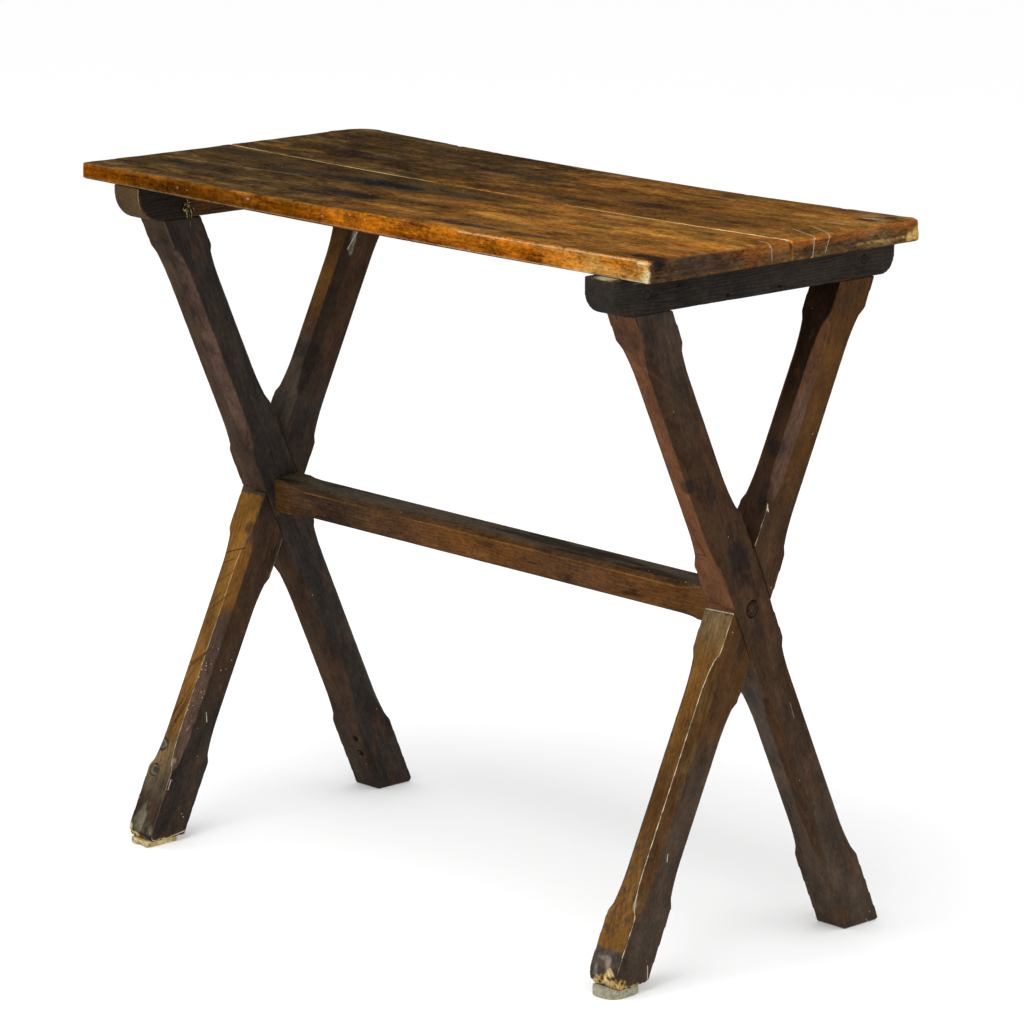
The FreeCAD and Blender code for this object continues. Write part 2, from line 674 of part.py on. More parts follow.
def make_batten(side):
    """A batten with rounded lower corners, mortises, peg holes and dowel holes."""
    front = f"Size.{side}_batten_front"
    rear = f"({front} + Size.batten_length)"
    nose = f"Size.{side}_batten_nose"
    name = f"{side}_batten"
    body = new_body(name)
    outline = [
        (front, "Size.batten_height"),
        (front, nose, SMOOTH_START),
        (f"{front} + {nose}", "0"),
        (f"{rear} - Size.batten_tail", "0", SMOOTH_START),
        (rear, "Size.batten_tail"),
        (rear, "Size.batten_height"),
    ]
    blank = draw(body, f"{name}_side", "YZ_Plane", outline)
    pad(body, f"{name}_bar", blank, "Size.batten_thickness", midplane=True)
    outlines = [mortise_outline(side, end) for end in FEET]
    mortises = draw(body, f"{name}_mortise_sides", "YZ_Plane", *outlines)
    mortise_width = "Size.tenon_thickness + 2 * Size.tenon_clearance"
    pocket(body, f"{name}_mortises", mortises, mortise_width, midplane=True)
    centres = [peg_spot(side, end) for end in FEET]
    pegs = draw_circles(body, f"{name}_peg_centres", "YZ_Plane", centres, "Size.peg")
    pocket(body, f"{name}_peg_holes", pegs, "2 * Size.batten_thickness", midplane=True)
    centres = [("0", y) for y in dowel_spots()]
    upper_face = "Size.batten_height"
    dowels = draw_circles(body, f"{name}_dowel_centres", "XY_Plane", centres, "Size.dowel", upper_face)
    pocket(body, f"{name}_dowel_holes", dowels, "Size.dowel_in_batten")
    place(body, f"{FRAMES[side]}.x", "0", "Size.leg_height")
    return body


def make_peg(side, end):
    """A peg across the batten and the leg tenon, cut flush with the batten's faces."""
    y, height = peg_spot(side, end)
    return cylinder(
        f"{side}_{end}_peg",
        "Size.peg - 2 * Size.peg_clearance",
        "Size.batten_thickness",
        f"{FRAMES[side]}.x - Size.batten_thickness / 2",
        y,
        f"Size.leg_height + {height}",
        ALONG_Y,
        "90 deg",
    )


def make_proud_peg():
    """The peg left long on the inner face, turned down to a broken tip."""
    body = new_body("proud_peg")
    radius = "(Size.peg / 2 - Size.peg_clearance)"
    face = "Size.batten_thickness / 2"
    half_section = [
        (f"-{face}", "0"),
        (f"{face} + Size.proud_length", "0"),
        (f"{face} + Size.proud_length", "Size.proud_tip / 2"),
        (f"{face} + Size.proud_length / 3", radius),
        (f"-{face}", radius),
    ]
    profile = draw(body, "proud_peg_half", "XY_Plane", half_section)
    turned = body.newObject("PartDesign::Revolution", "proud_peg_turned")
    turned.Profile = profile
    turned.ReferenceAxis = (profile, ["H_Axis"])
    turned.Angle = 360
    body.Tip = turned
    y, height = peg_spot(*PROUD_PEG)
    place(body, "LeftFrame.x", y, f"Size.leg_height + {height}")
    return body


def make_dowels(side):
    """Blind dowels that hold the two boards down on a batten."""
    diameter = "Size.dowel - 2 * Size.peg_clearance"
    length = "Size.dowel_in_batten + Size.dowel_in_board - 2 * Size.dowel_end_gap"
    base = "Top.seat - Size.dowel_in_batten + Size.dowel_end_gap"
    pins = []
    for number_along, y in enumerate(dowel_spots(), start=1):
        name = f"{side}_dowel_{number_along}"
        pins.append(cylinder(name, diameter, length, f"{FRAMES[side]}.x", y, base))
    return group(f"{side}_top_dowels", pins)


# ---------------------------------------------------------------------------------------
# Top
# ---------------------------------------------------------------------------------------

LEFT_SEAT = "(LeftFrame.x + Size.batten_thickness / 2)"
RIGHT_SEAT = "(RightFrame.x - Size.batten_thickness / 2)"
JOINT_FRONT = "(Size.top_joint - Size.joint_gap / 2)"
JOINT_REAR = "(Size.top_joint + Size.joint_gap / 2)"


def bow_radius(chord, sag):
    """Radius of a shallow arc from its chord and its sag."""
    return f"(({chord}) ^ 2 / (8 * {sag}) + {sag} / 2)"


def long_section(edge, belly):
    """Section of a board along X at one of its edges: worn hollow above, sagging below."""
    left = f"Size.{edge}_left"
    right = f"Size.{edge}_right"
    top_chord = f"sqrt((2 * Top.half_length) ^ 2 + ({right} - {left}) ^ 2)"
    return [
        ("-Top.half_length", "0"),
        (LEFT_SEAT, "0", bowed(bow_radius(f"{RIGHT_SEAT} - {LEFT_SEAT}", f"Size.{belly}"), 1)),
        (RIGHT_SEAT, "0"),
        ("Top.half_length", "0"),
        ("Top.half_length", right, bowed(bow_radius(top_chord, f"Size.{edge}_sag"), -1)),
        ("-Top.half_length", left),
    ]


def left_end(y):
    """X of the top's left end at a given Y: the end is out of square."""
    return f"(-Top.half_length + Top.skew * ({y} - Size.top_front) / Top.width)"


def trim(body, name, outline, front, rear):
    """Cuts a board back to its outline in plan."""
    outside = f"(Top.half_length + 10 * {CUTTER_MARGIN})"
    frame = [
        (f"-{outside}", f"{front} - 10 * {CUTTER_MARGIN}"),
        (outside, f"{front} - 10 * {CUTTER_MARGIN}"),
        (outside, f"{rear} + 10 * {CUTTER_MARGIN}"),
        (f"-{outside}", f"{rear} + 10 * {CUTTER_MARGIN}"),
    ]
    sketch = draw(body, f"{name}_plan", "XY_Plane", frame, outline)
    pocket(body, f"{name}_trimmed", sketch, "4 * Size.batten_height", midplane=True)


def loft_board(name, front_section, rear_section, front, rear):
    """A board whose long section changes evenly from its front edge to its rear edge."""
    body = new_body(name)
    near = draw(body, f"{name}_front_section", "XZ_Plane", front_section, offset=f"-({front})")
    far = draw(body, f"{name}_rear_section", "XZ_Plane", rear_section, offset=f"-({rear})")
    board = body.newObject("PartDesign::AdditiveLoft", f"{name}_plank")
    board.Profile = near
    board.Sections = [far]
    board.Ruled = True
    body.Tip = board
    doc.recompute()
    return body


def bore_board(body, name, spots):
    """Blind dowel holes from the underside, over both battens."""
    centres = [(f"{FRAMES[side]}.x", y) for side in SIDES for y in spots]
    circles = draw_circles(body, f"{name}_dowel_centres", "XY_Plane", centres, "Size.dowel")
    pocket(body, f"{name}_dowel_holes", circles, "Size.dowel_in_board", backwards=True)


def make_front_board():
    """The front board, with eased corners at its two outer ends."""
    body = loft_board(
        "front_board",
        long_section("front_edge", "front_belly"),
        long_section("joint_edge", "joint_belly"),
        "Size.top_front",
        JOINT_FRONT,
    )
    past_joint = f"({JOINT_FRONT} + {CUTTER_MARGIN})"
    left_turn = "(Size.top_front + Size.front_left_corner)"
    outline = [
        (left_end(past_joint), past_joint),
        (left_end(left_turn), left_turn, SMOOTH_START),
        ("-Top.half_length + Size.front_left_corner", "Size.top_front"),
        ("Top.half_length - Size.front_right_corner", "Size.top_front", SMOOTH_START),
        ("Top.half_length", "Size.top_front + Size.front_right_corner"),
        ("Top.half_length", past_joint),
    ]
    trim(body, "front_board", outline, "Size.top_front", JOINT_FRONT)
    bore_board(body, "front_board", dowel_spots()[:2])
    place(body, z="Top.seat")
    return body


def make_back_board():
    """The back board, worn round at its left corner."""
    body = loft_board(
        "back_board",
        long_section("joint_edge", "joint_belly"),
        long_section("rear_edge", "rear_belly"),
        JOINT_REAR,
        "Size.top_rear",
    )
    past_joint = f"({JOINT_REAR} - {CUTTER_MARGIN})"
    left_turn = "(Size.top_rear - Size.rear_left_corner)"
    outline = [
        ("Top.half_length", past_joint),
        ("Top.half_length", "Size.top_rear - Size.rear_right_corner", SMOOTH_START),
        ("Top.half_length - Size.rear_right_corner", "Size.top_rear"),
        (f"{left_end('Size.top_rear')} + Size.rear_left_corner", "Size.top_rear", SMOOTH_START),
        (left_end(left_turn), left_turn),
        (left_end(past_joint), past_joint),
    ]
    trim(body, "back_board", outline, JOINT_REAR, "Size.top_rear")
    bore_board(body, "back_board", dowel_spots()[2:])
    place(body, z="Top.seat")
    return body


def make_filler():
    """The strip of old filling in the upper part of the joint."""
    body = new_body("joint_filler")
    top_left = "(Size.joint_edge_left - Size.filler_recess)"
    top_right = "(Size.joint_edge_right - Size.filler_recess)"
    chord = f"sqrt((2 * Top.half_length) ^ 2 + ({top_right} - {top_left}) ^ 2)"
    radius = bow_radius(chord, "Size.joint_edge_sag")
    section = [
        ("-Top.half_length", f"{top_left} - Size.filler_depth", bowed(radius, 1)),
        ("Top.half_length", f"{top_right} - Size.filler_depth"),
        ("Top.half_length", top_right, bowed(radius, -1)),
        ("-Top.half_length", top_left),
    ]
    sketch = draw(body, "joint_filler_section", "XZ_Plane", section, offset="-Size.top_joint")
    pad(body, "joint_filler_strip", sketch, "Size.joint_gap", midplane=True)
    before = f"({JOINT_FRONT} - {CUTTER_MARGIN})"
    behind = f"({JOINT_REAR} + {CUTTER_MARGIN})"
    outline = [
        (left_end(before), before),
        ("Top.half_length", before),
        ("Top.half_length", behind),
        (left_end(behind), behind),
    ]
    trim(body, "joint_filler", outline, before, behind)
    place(body, z="Top.seat")
    return body


# ---------------------------------------------------------------------------------------
# Stretcher
# ---------------------------------------------------------------------------------------


def make_stretcher():
    """The square stretcher with stopped chamfers and a round tenon at each end."""
    body = new_body("stretcher")
    slant = "Stretcher.half * Stretcher.slew"
    plan = [
        (f"-Stretcher.shoulder - {slant}", "-Stretcher.half"),
        (f"Stretcher.shoulder - {slant}", "-Stretcher.half"),
        (f"Stretcher.shoulder + {slant}", "Stretcher.half"),
        (f"-Stretcher.shoulder + {slant}", "Stretcher.half"),
    ]
    sketch = draw(body, "stretcher_plan", "XY_Plane", plan)
    pad(body, "stretcher_bar", sketch, "Size.stretcher_section", midplane=True)
    arris = "Size.stretcher_section / sqrt(2)"
    start = "(Size.stretcher_stop - Stretcher.shoulder)"
    end = "(Stretcher.shoulder - Size.stretcher_stop)"
    for angle in DIAGONALS:
        outlines = [
            stopped_chamfer(sign, arris, start, end, "stretcher", across=True) for sign in (1, -1)
        ]
        label = f"stretcher_arrises_{'a' if angle > 0 else 'b'}"
        chamfers = draw(body, label, "XY_Plane", *outlines, turn=(ALONG_X, angle))
        pocket(body, f"{label}_cut", chamfers, "4 * Size.stretcher_section", midplane=True)
    circle = draw_circles(body, "stretcher_tenon_circle", "YZ_Plane", [("0", "0")], "Size.round_tenon")
    pad(body, "stretcher_tenons", circle, "Stretcher.tenon_span", midplane=True)
    for side in SIDES:
        sign = 1 if side == "right" else -1
        face = signed(sign, "Stretcher.tenon_span / 2")
        spot = draw_circles(
            body, f"{side}_sprig_centre", "YZ_Plane", [("Size.sprig_offset", "0")], "Size.sprig", face
        )
        depth = "Size.sprig_length + Size.sprig_sink"
        pocket(body, f"{side}_sprig_hole", spot, depth, backwards=side == "left")
    body.setExpression("Placement", STRETCHER_AXIS)
    return body


def make_bore():
    """The round hole that both frames are bored with, along the stretcher's axis."""
    diameter = "Size.round_tenon + 2 * Size.bore_clearance"
    length = "Stretcher.tenon_span + 4 * Size.leg_thickness"
    return stretcher_pin("stretcher_bore", diameter, length, f"-({length}) / 2")


def make_sprigs():
    """Iron sprigs driven into the ends of the round tenons."""
    starts = {
        "right": "Stretcher.tenon_span / 2 - Size.sprig_sink - Size.sprig_length",
        "left": "Size.sprig_sink - Stretcher.tenon_span / 2",
    }
    diameter = "Size.sprig - 2 * Size.peg_clearance"
    pins = [
        stretcher_pin(f"{side}_sprig", diameter, "Size.sprig_length", starts[side], "Size.sprig_offset")
        for side in SIDES
    ]
    return group("tenon_sprigs", pins)


# ---------------------------------------------------------------------------------------
# What lies under the front feet
# ---------------------------------------------------------------------------------------


def sole_middle(side):
    """Y of the axis of a front leg where its sole rests."""
    end = "front"
    return f"Size.{side}_front_foot + {LEGS[side, end]}.slope * {SOLE[side, end]}"


def make_foot_pad():
    """The felt pad, rounded at its corners."""
    body = new_body("foot_pad")
    x = "Size.pad_width / 2"
    y = "Size.pad_length / 2"
    r = "Size.pad_corner"
    outline = [
        (f"-{x} + {r}", f"-{y}"),
        (f"{x} - {r}", f"-{y}", SMOOTH_START),
        (x, f"-{y} + {r}"),
        (x, f"{y} - {r}", SMOOTH_START),
        (f"{x} - {r}", y),
        (f"-{x} + {r}", y, SMOOTH_START),
        (f"-{x}", f"{y} - {r}"),
        (f"-{x}", f"-{y} + {r}", SMOOTH_START),
    ]
    sketch = draw(body, "foot_pad_plan", "XY_Plane", outline)
    pad(body, "foot_pad_felt", sketch, "Size.pad_thickness")
    place(body, "RightFrame.x", sole_middle("right"))
    return body


def make_packing_slip():
    """The slip of wood, one corner broken off."""
    body = new_body("packing_slip")
    x = "Size.slip_width / 2"
    y = "Size.slip_length / 2"
    corner = "Size.slip_corner"
    outline = [
        (f"-{x} + {corner}", f"-{y}"),
        (x, f"-{y}"),
        (x, y),
        (f"-{x}", y),
        (f"-{x}", f"-{y} + {corner}"),
    ]
    sketch = draw(body, "packing_slip_plan", "XY_Plane", outline)
    pad(body, "packing_slip_wood", sketch, "Size.slip_thickness")
    place(body, "LeftFrame.x", f"{sole_middle('left')} - Size.slip_forward")
    return body


# ---------------------------------------------------------------------------------------
# The table
# ---------------------------------------------------------------------------------------


def make_table():
    """Every piece of the table, in the order in which it would be put together."""
    bore = make_bore()
    pieces = []
    for side in SIDES:
        for end in FEET:
            blank = make_leg(side, end)
            if side == "left":
                bore_plug_holes(blank, end)
            pieces.append(bore_leg(blank, side, end, bore))
        pieces.append(make_batten(side))
        pieces.append(make_dowels(side))
    pieces.append(make_stretcher())
    pieces.append(make_sprigs())
    flush = [("right", "front"), ("right", "rear"), ("left", "front")]
    pieces.append(group("draw_pegs", [make_peg(side, end) for side, end in flush]))
    pieces.append(make_proud_peg())
    pieces.append(make_front_board())
    pieces.append(make_back_board())
    pieces.append(make_filler())
    pieces.extend(make_plugs(end) for end in FEET)
    pieces.append(make_foot_pad())
    pieces.append(make_packing_slip())
    return pieces


def check_document(pieces):
    """Stops the build where an object failed or a piece has no sound shape."""
    for item in doc.Objects:
        if "Invalid" in item.State or "Error" in item.State:
            raise RuntimeError(f"{item.Name} failed: {item.State}")
    for piece in pieces:
        if piece.Shape.isNull() or not piece.Shape.isValid():
            raise RuntimeError(f"{piece.Label} has no valid shape")


def write_parts(pieces):
    """One STEP file for each piece, named after it."""
    os.makedirs("parts", exist_ok=True)
    for piece in pieces:
        piece.Shape.exportStep(os.path.join("parts", f"{piece.Label}.step"))
        box = piece.Shape.BoundBox
        print(f"{piece.Label}: {len(piece.Shape.Solids)} solid(s), {piece.Shape.Volume / 1000:.1f} cm3, "
              f"x {box.XMin:.1f}..{box.XMax:.1f} y {box.YMin:.1f}..{box.YMax:.1f} "
              f"z {box.ZMin:.1f}..{box.ZMax:.1f}")


table = make_table()
doc.recompute()
check_document(table)
write_parts(table)
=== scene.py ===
"""Looks of an old sawbuck table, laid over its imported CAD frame.

Each wooden piece is a fine copy of its CAD solid, worn, dented and torn with mesh arrays, and
coloured by marks that are painted on its points and by the grain of its own wood.
"""

import itertools
import math

import bpy
import numpy as np
from mathutils import Matrix, Vector


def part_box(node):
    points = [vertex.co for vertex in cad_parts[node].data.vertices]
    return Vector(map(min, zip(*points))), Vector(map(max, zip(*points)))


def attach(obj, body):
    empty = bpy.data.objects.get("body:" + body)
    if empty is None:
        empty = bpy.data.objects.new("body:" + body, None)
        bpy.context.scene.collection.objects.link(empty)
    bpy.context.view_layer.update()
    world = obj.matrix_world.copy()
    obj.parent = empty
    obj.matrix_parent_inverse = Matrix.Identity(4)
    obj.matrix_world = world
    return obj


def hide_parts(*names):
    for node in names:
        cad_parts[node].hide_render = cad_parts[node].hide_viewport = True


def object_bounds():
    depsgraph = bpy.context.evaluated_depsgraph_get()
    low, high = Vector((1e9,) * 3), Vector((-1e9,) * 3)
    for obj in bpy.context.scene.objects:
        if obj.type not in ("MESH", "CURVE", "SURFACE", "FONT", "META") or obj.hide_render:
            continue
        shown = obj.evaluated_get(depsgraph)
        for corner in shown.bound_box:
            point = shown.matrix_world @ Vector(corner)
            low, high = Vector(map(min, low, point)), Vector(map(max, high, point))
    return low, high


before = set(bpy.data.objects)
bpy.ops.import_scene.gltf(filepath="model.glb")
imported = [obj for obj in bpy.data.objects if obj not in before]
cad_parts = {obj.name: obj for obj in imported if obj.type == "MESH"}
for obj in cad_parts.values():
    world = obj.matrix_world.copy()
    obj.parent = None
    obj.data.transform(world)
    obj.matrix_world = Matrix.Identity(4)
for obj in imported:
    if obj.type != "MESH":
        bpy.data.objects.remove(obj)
CAD_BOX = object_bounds()

bl_info = {
    "name": "Sawbuck table",
    "version": (1, 0, 0),
    "blender": (4, 5, 0),
    "location": "3D Viewport > Sidebar > Sawbuck table",
    "description": "Dresses the frame of an old sawbuck table with worn wood",
    "category": "Object",
}

MM = 0.001
NO_LINE_NEAR = 9.0  # mm beside a hair line, wider than any line
LEFT_BATTEN_FACE = -308.5 * MM
PAD_MIDDLE, PAD_HALF = (340.5, -159.9), (18.0, 22.5)  # mm
SLIP_ACROSS, SLIP_ALONG, SLIP_MIDDLE = (-344.4, -309.4), (-179, -135), (-326.8, -157)  # mm
FELT_LIGHT, FELT_DEEP = "#a9a184", "#6a6550"
LAMP_PLACE, LAMP_AIM, LAMP_SIZE = (0.25, -1.15, 2.9), (0, 0, 0.3), 2.0
PAPER_HALF, PAPER_LEVEL = 9.0, -0.4 * MM


# ---------------------------------------------------------------------------------------------
# Random fields and masks
# ---------------------------------------------------------------------------------------------


def field(points, seed):
    """A smooth random field from -1 to 1 with about one hump per unit of length."""
    cell = np.floor(points).astype(np.int64)
    t = points - cell
    t = t * t * (3 - 2 * t)
    total = np.zeros(len(points))
    for corner in itertools.product((0, 1), repeat=3):
        k = cell + corner
        mixed = (k[:, 0] * 73856093) ^ (k[:, 1] * 19349663) ^ (k[:, 2] * 83492791)
        mixed = (mixed ^ (seed * 374761393)) & 0xFFFFFFFF
        mixed = ((mixed ^ (mixed >> 13)) * 1274126177) & 0xFFFFFFFF
        value = ((mixed ^ (mixed >> 16)) & 0xFFFF) / 32767.5 - 1
        weight = np.prod(np.where(corner, t, 1 - t), axis=1)
        total += weight * value
    return total


def rough_field(points, seed, layers=3):
    """Layers of the random field, each half as large and half as deep as the one before."""
    total = np.zeros(len(points))
    for i in range(layers):
        total += field(points * 2.0**i + 17.3 * i, seed + i) * 0.5**i
    return total / (2 - 0.5 ** (layers - 1))


def ramp(start, end, value):
    """0 at start, 1 at end, with a soft way between them."""
    t = np.clip((value - start) / (end - start), 0, 1)
    return t * t * (3 - 2 * t)


# ---------------------------------------------------------------------------------------------
# Skins: the surface of one piece, worked on as arrays
# ---------------------------------------------------------------------------------------------


class Skin:
    """A fine all-quad copy of one CAD node, in axes of its own with the grain along X."""

    def __init__(self, node, pitch, axes=None):
        """Copies the node and lays quads of the given pitch over it."""
        self.node = node
        self.pitch = pitch
        self.axes = axes or Matrix.Identity(3)
        low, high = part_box(node)
        self.middle = np.array((low + high) / 2)
        self.seed = sum(ord(letter) for letter in node)
        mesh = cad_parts[node].data.copy()
        mesh.transform(self.axes.transposed().to_4x4())
        rough = bpy.data.objects.new(node + "_rough", mesh)
        bpy.context.scene.collection.objects.link(rough)
        remesh = rough.modifiers.new("Fine quads", "REMESH")
        remesh.mode = "VOXEL"
        remesh.voxel_size = pitch
        seen = rough.evaluated_get(bpy.context.evaluated_depsgraph_get())
        self.mesh = bpy.data.meshes.new_from_object(seen)
        bpy.data.objects.remove(rough)
        bpy.data.meshes.remove(mesh)
        points = np.empty(len(self.mesh.vertices) * 3)
        self.mesh.vertices.foreach_get("co", points)
        self.local = points.reshape(-1, 3)
        corners = np.empty(len(self.mesh.loops), int)
        self.mesh.loops.foreach_get("vertex_index", corners)
        self.quads = corners.reshape(-1, 4)
        a = self.quads.ravel()
        b = np.roll(self.quads, -1, axis=1).ravel()
        self.ends = np.concatenate((a, b)), np.concatenate((b, a))
        self.count = np.bincount(self.ends[0], minlength=len(self.local)).clip(1)
        self.turn = np.array(self.axes)
        self.start = self.world()
        self.start_normals = self.normals()
        self.flow = self.grain()
        self.beside = np.full(len(self.local), NO_LINE_NEAR)
        self.inked = np.zeros(len(self.local))
        self.specks = np.zeros(len(self.local))
        self.rim = np.zeros((len(self.local), 3))

    def world(self):
        """The points in the table's own frame, in metres."""
        return self.local @ self.turn.T

    def grain(self):
        """The points from the middle of the piece, the grain along X."""
        return self.local - self.middle @ self.turn

    def mean(self, values):
        """The mean of each point's neighbours."""
        here, there = self.ends
        values = values.reshape(len(self.local), -1)
        total = [
            np.bincount(here, values[there, i], len(self.local))
            for i in range(values.shape[1])
        ]
        return np.stack(total, 1) / self.count[:, None]

    def spread(self, values, steps):
        """The values smoothed over the skin."""
        for _ in range(steps):
            values = 0.5 * values + 0.5 * self.mean(values)[:, 0]
        return values

    def normals(self):
        """Each point's outward normal, in the piece's own axes."""
        p = self.local[self.quads]
        face = np.cross(p[:, 2] - p[:, 0], p[:, 3] - p[:, 1])
        total = np.zeros_like(self.local)
        for i in range(4):
            for axis in range(3):
                total[:, axis] += np.bincount(
                    self.quads[:, i], face[:, axis], len(self.local)
                )
        return total / np.linalg.norm(total, axis=1, keepdims=True).clip(1e-12)

    def world_normals(self):
        """Each point's outward normal in the table's frame."""
        return self.normals() @ self.turn.T

    def crest(self):
        """How far each point stands out: near 1 on a sharp arris, -1 in a corner."""
        out = ((self.local - self.mean(self.local)) * self.normals()).sum(1)
        return self.spread(out / self.pitch * 4, 2).clip(-1, 1)

    def relax(self, weight, steps):
        """Wears the skin towards the mean of its neighbours, most where the weight is 1."""
        for _ in range(steps):
            self.local += weight[:, None] * 0.5 * (self.mean(self.local) - self.local)

    def push(self, height):
        """Moves each point out along its normal by a height in metres."""
        self.local += self.normals() * height[:, None]

    def cloud(self, long, wide, seed, layers=3):
        """A random field from -1 to 1, its humps long with the grain and wide across it, in mm."""
        return rough_field(self.grain() / MM / (long, wide, wide), self.seed + seed, layers)

    def facing(self, x, y, z, start=0.3, end=0.8):
        """1 where the skin faced a direction before it was worn."""
        way = np.array((x, y, z), float) / math.sqrt(x * x + y * y + z * z)
        return ramp(start, end, self.start_normals @ self.turn.T @ way)

    def spots(self, marks, seed=1, ragged=0.35):
        """Strength of listed patches: x, y, z, half length, half width and strength."""
        place = self.start / MM
        along = self.turn[:, 0]
        ragged = ragged * (0.65 * self.cloud(14, 5, seed) + 0.35 * self.cloud(4, 3, seed + 1))
        total = np.zeros(len(place))
        for x, y, z, long, wide, strength in marks:
            off = place - (x, y, z)
            with_grain = off @ along
            across = np.linalg.norm(off - with_grain[:, None] * along, axis=1)
            reach = np.hypot(with_grain / long, across / wide) + ragged
            total = np.maximum(total, strength * ramp(1.2, 0.6, reach))
        return total

    def scratch(self, marks, reach=3.2):
        """Rules hair lines: x, y, z of both ends and strength, pale above 0, dark below.

        Each point keeps how far beside the nearest line it lies, so the shader can draw lines that
        are finer than the quads.
        """
        place = self.start / MM
        normal = self.start_normals @ self.turn.T
        nearest = np.full(len(place), reach)
        for x0, y0, z0, x1, y1, z1, strength in marks:
            a, b = np.array((x0, y0, z0), float), np.array((x1, y1, z1), float)
            long = np.linalg.norm(b - a)
            t = np.clip((place - a) @ (b - a) / long**2, 0, 1)
            away = np.linalg.norm(place - a - t[:, None] * (b - a), axis=1)
            mine = away < nearest
            beside = (np.cross((b - a) / long, place - a) * normal).sum(1)
            self.beside[mine] = beside[mine]
            self.inked[mine] = strength * ramp(reach, reach * 0.5, away[mine])
            nearest[mine] = away[mine]

    def rule_arris(self, face, strength):
        """Rules a hair line along the arrises round one face, where the strength isn't 0."""
        way = np.array(face, float) / np.linalg.norm(face)
        lean = np.degrees(np.arccos((self.start_normals @ self.turn.T @ way).clip(-1, 1)))
        self.rim[:, 0] = (lean - 20) / 16
        self.rim[:, 1] = strength

    def object(self, name, material, slot, coat):
        """Makes the piece: rides the table, stands for its node and carries its coat."""
        world = self.world()
        low, high = (np.array(corner) for corner in CAD_BOX)
        world = world.clip(low + 1e-6, high - 1e-6)
        on_floor = self.start[:, 2] < 0.6 * MM
        world[on_floor, 2] = self.start[on_floor, 2].clip(0)
        self.mesh.vertices.foreach_set("co", world.ravel())
        grain = self.flow + self.seed * 0.137 * np.array((1, 0, 0))
        marks = np.column_stack((self.beside, self.inked, self.specks))
        lay_fields(self.mesh, grain, marks, self.rim, coat.colour, coat.dull)
        self.mesh.polygons.foreach_set("use_smooth", [True] * len(self.quads))
        self.mesh.update()
        return dress(name, self.mesh, material, slot, self.node)


def lay_fields(mesh, grain, marks, rim, colour, dull):
    """Stores on a mesh what its material reads at each point."""
    fields = (
        ("grain", "FLOAT_VECTOR", "vector", grain),
        ("marks", "FLOAT_VECTOR", "vector", marks),
        ("rim", "FLOAT_VECTOR", "vector", rim),
        ("coat", "FLOAT_COLOR", "color", np.column_stack((colour, dull))),
    )
    for label, kind, key, values in fields:
        layer = mesh.attributes.new(label, kind, "POINT")
        layer.data.foreach_set(key, np.ascontiguousarray(values).ravel())


class Coat:
    """The colour of a skin's points, laid on in washes."""

    def __init__(self, skin, *shades, along=None):
        """A ground of one colour, or of colours that follow each other at places along a value."""
        if along is None:
            along, shades = np.zeros(len(skin.local)), [(0, shades[0])]
        at = [place for place, _ in shades]
        tones = np.array([tone(name) for _, name in shades])
        self.colour = np.stack([np.interp(along, at, tones[:, i]) for i in range(3)], 1)
        self.dull = np.zeros(len(skin.local))

    def wash(self, over, share, dull=0.0):
        """Lays a tone, or another coat, over a share of the points."""
        share = np.clip(share, 0, 1)
        over = over.colour if isinstance(over, Coat) else tone(over)
        self.colour += share[:, None] * (over - self.colour)
        self.dull = np.maximum(self.dull * (1 - share), share * dull)
        return self


def tone(name):
    """The linear colour of a named tone in the settings."""
    return np.array(getattr(bpy.context.scene.sawbuck_wood, name))


def dress(name, mesh, material, slot, *nodes):
    """A finished piece of the table from a mesh."""
    mesh.name = name
    mesh.materials.clear()
    mesh.materials.append(material)
    piece = bpy.data.objects.new(name, mesh)
    bpy.context.scene.collection.objects.link(piece)
    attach(piece, "root")
    if nodes:
        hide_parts(*nodes)
    return piece


def bar_axes(node, long):
    """Axes of a square bar from its CAD faces: the grain first, then two across it."""
    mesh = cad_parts[node].data
    area = np.empty(len(mesh.polygons))
    normal = np.empty(len(mesh.polygons) * 3)
    mesh.polygons.foreach_get("area", area)
    mesh.polygons.foreach_get("normal", normal)
    normal = normal.reshape(-1, 3)
    long = np.array(long, float)
    across = []
    for guess in np.eye(3):
        if abs(guess @ long) > 0.7:
            continue
        facing = np.abs(normal @ guess) > 0.85
        signed = normal[facing] * np.sign(normal[facing] @ guess)[:, None]
        total = (signed * area[facing, None]).sum(0)
        across.append(total / np.linalg.norm(total))
    for i, first in enumerate(across):
        true = np.abs(normal @ first) > 0.9995
        signed = normal[true] * np.sign(normal[true] @ first)[:, None]
        total = (signed * area[true, None]).sum(0)
        across[i] = total / np.linalg.norm(total)
    grain = np.cross(across[0], across[1])
    grain /= np.linalg.norm(grain)
    side = across[0] - grain * (across[0] @ grain)
    side /= np.linalg.norm(side)
    axes = np.stack((grain, side, np.cross(grain, side)), 1)
    return Matrix(axes.tolist())


# ---------------------------------------------------------------------------------------------
# Materials
# ---------------------------------------------------------------------------------------------


def linear(hex_colour):
    """The linear colour of an sRGB hex value."""
    parts = [int(hex_colour[i : i + 2], 16) / 255 for i in (1, 3, 5)]
    return [c / 12.92 if c <= 0.04045 else ((c + 0.055) / 1.055) ** 2.4 for c in parts] + [1.0]


def add(tree, kind, inputs, out=0, **settings):
    """Adds one node with its settings and inputs, values or sockets, and returns one output."""
    made = tree.nodes.new("ShaderNode" + kind)
    for key, value in settings.items():
        setattr(made, key, value)
    for key, value in inputs.items():
        if isinstance(value, bpy.types.NodeSocket):
            tree.links.new(value, made.inputs[key])
        else:
            made.inputs[key].default_value = value
    return made.outputs[out] if made.outputs else made


def blank(name):
    """A new material, its node tree and its cleared shader."""
    material = bpy.data.materials.new(name)
    material.use_nodes = True
    material.node_tree.nodes.clear()
    return material, material.node_tree


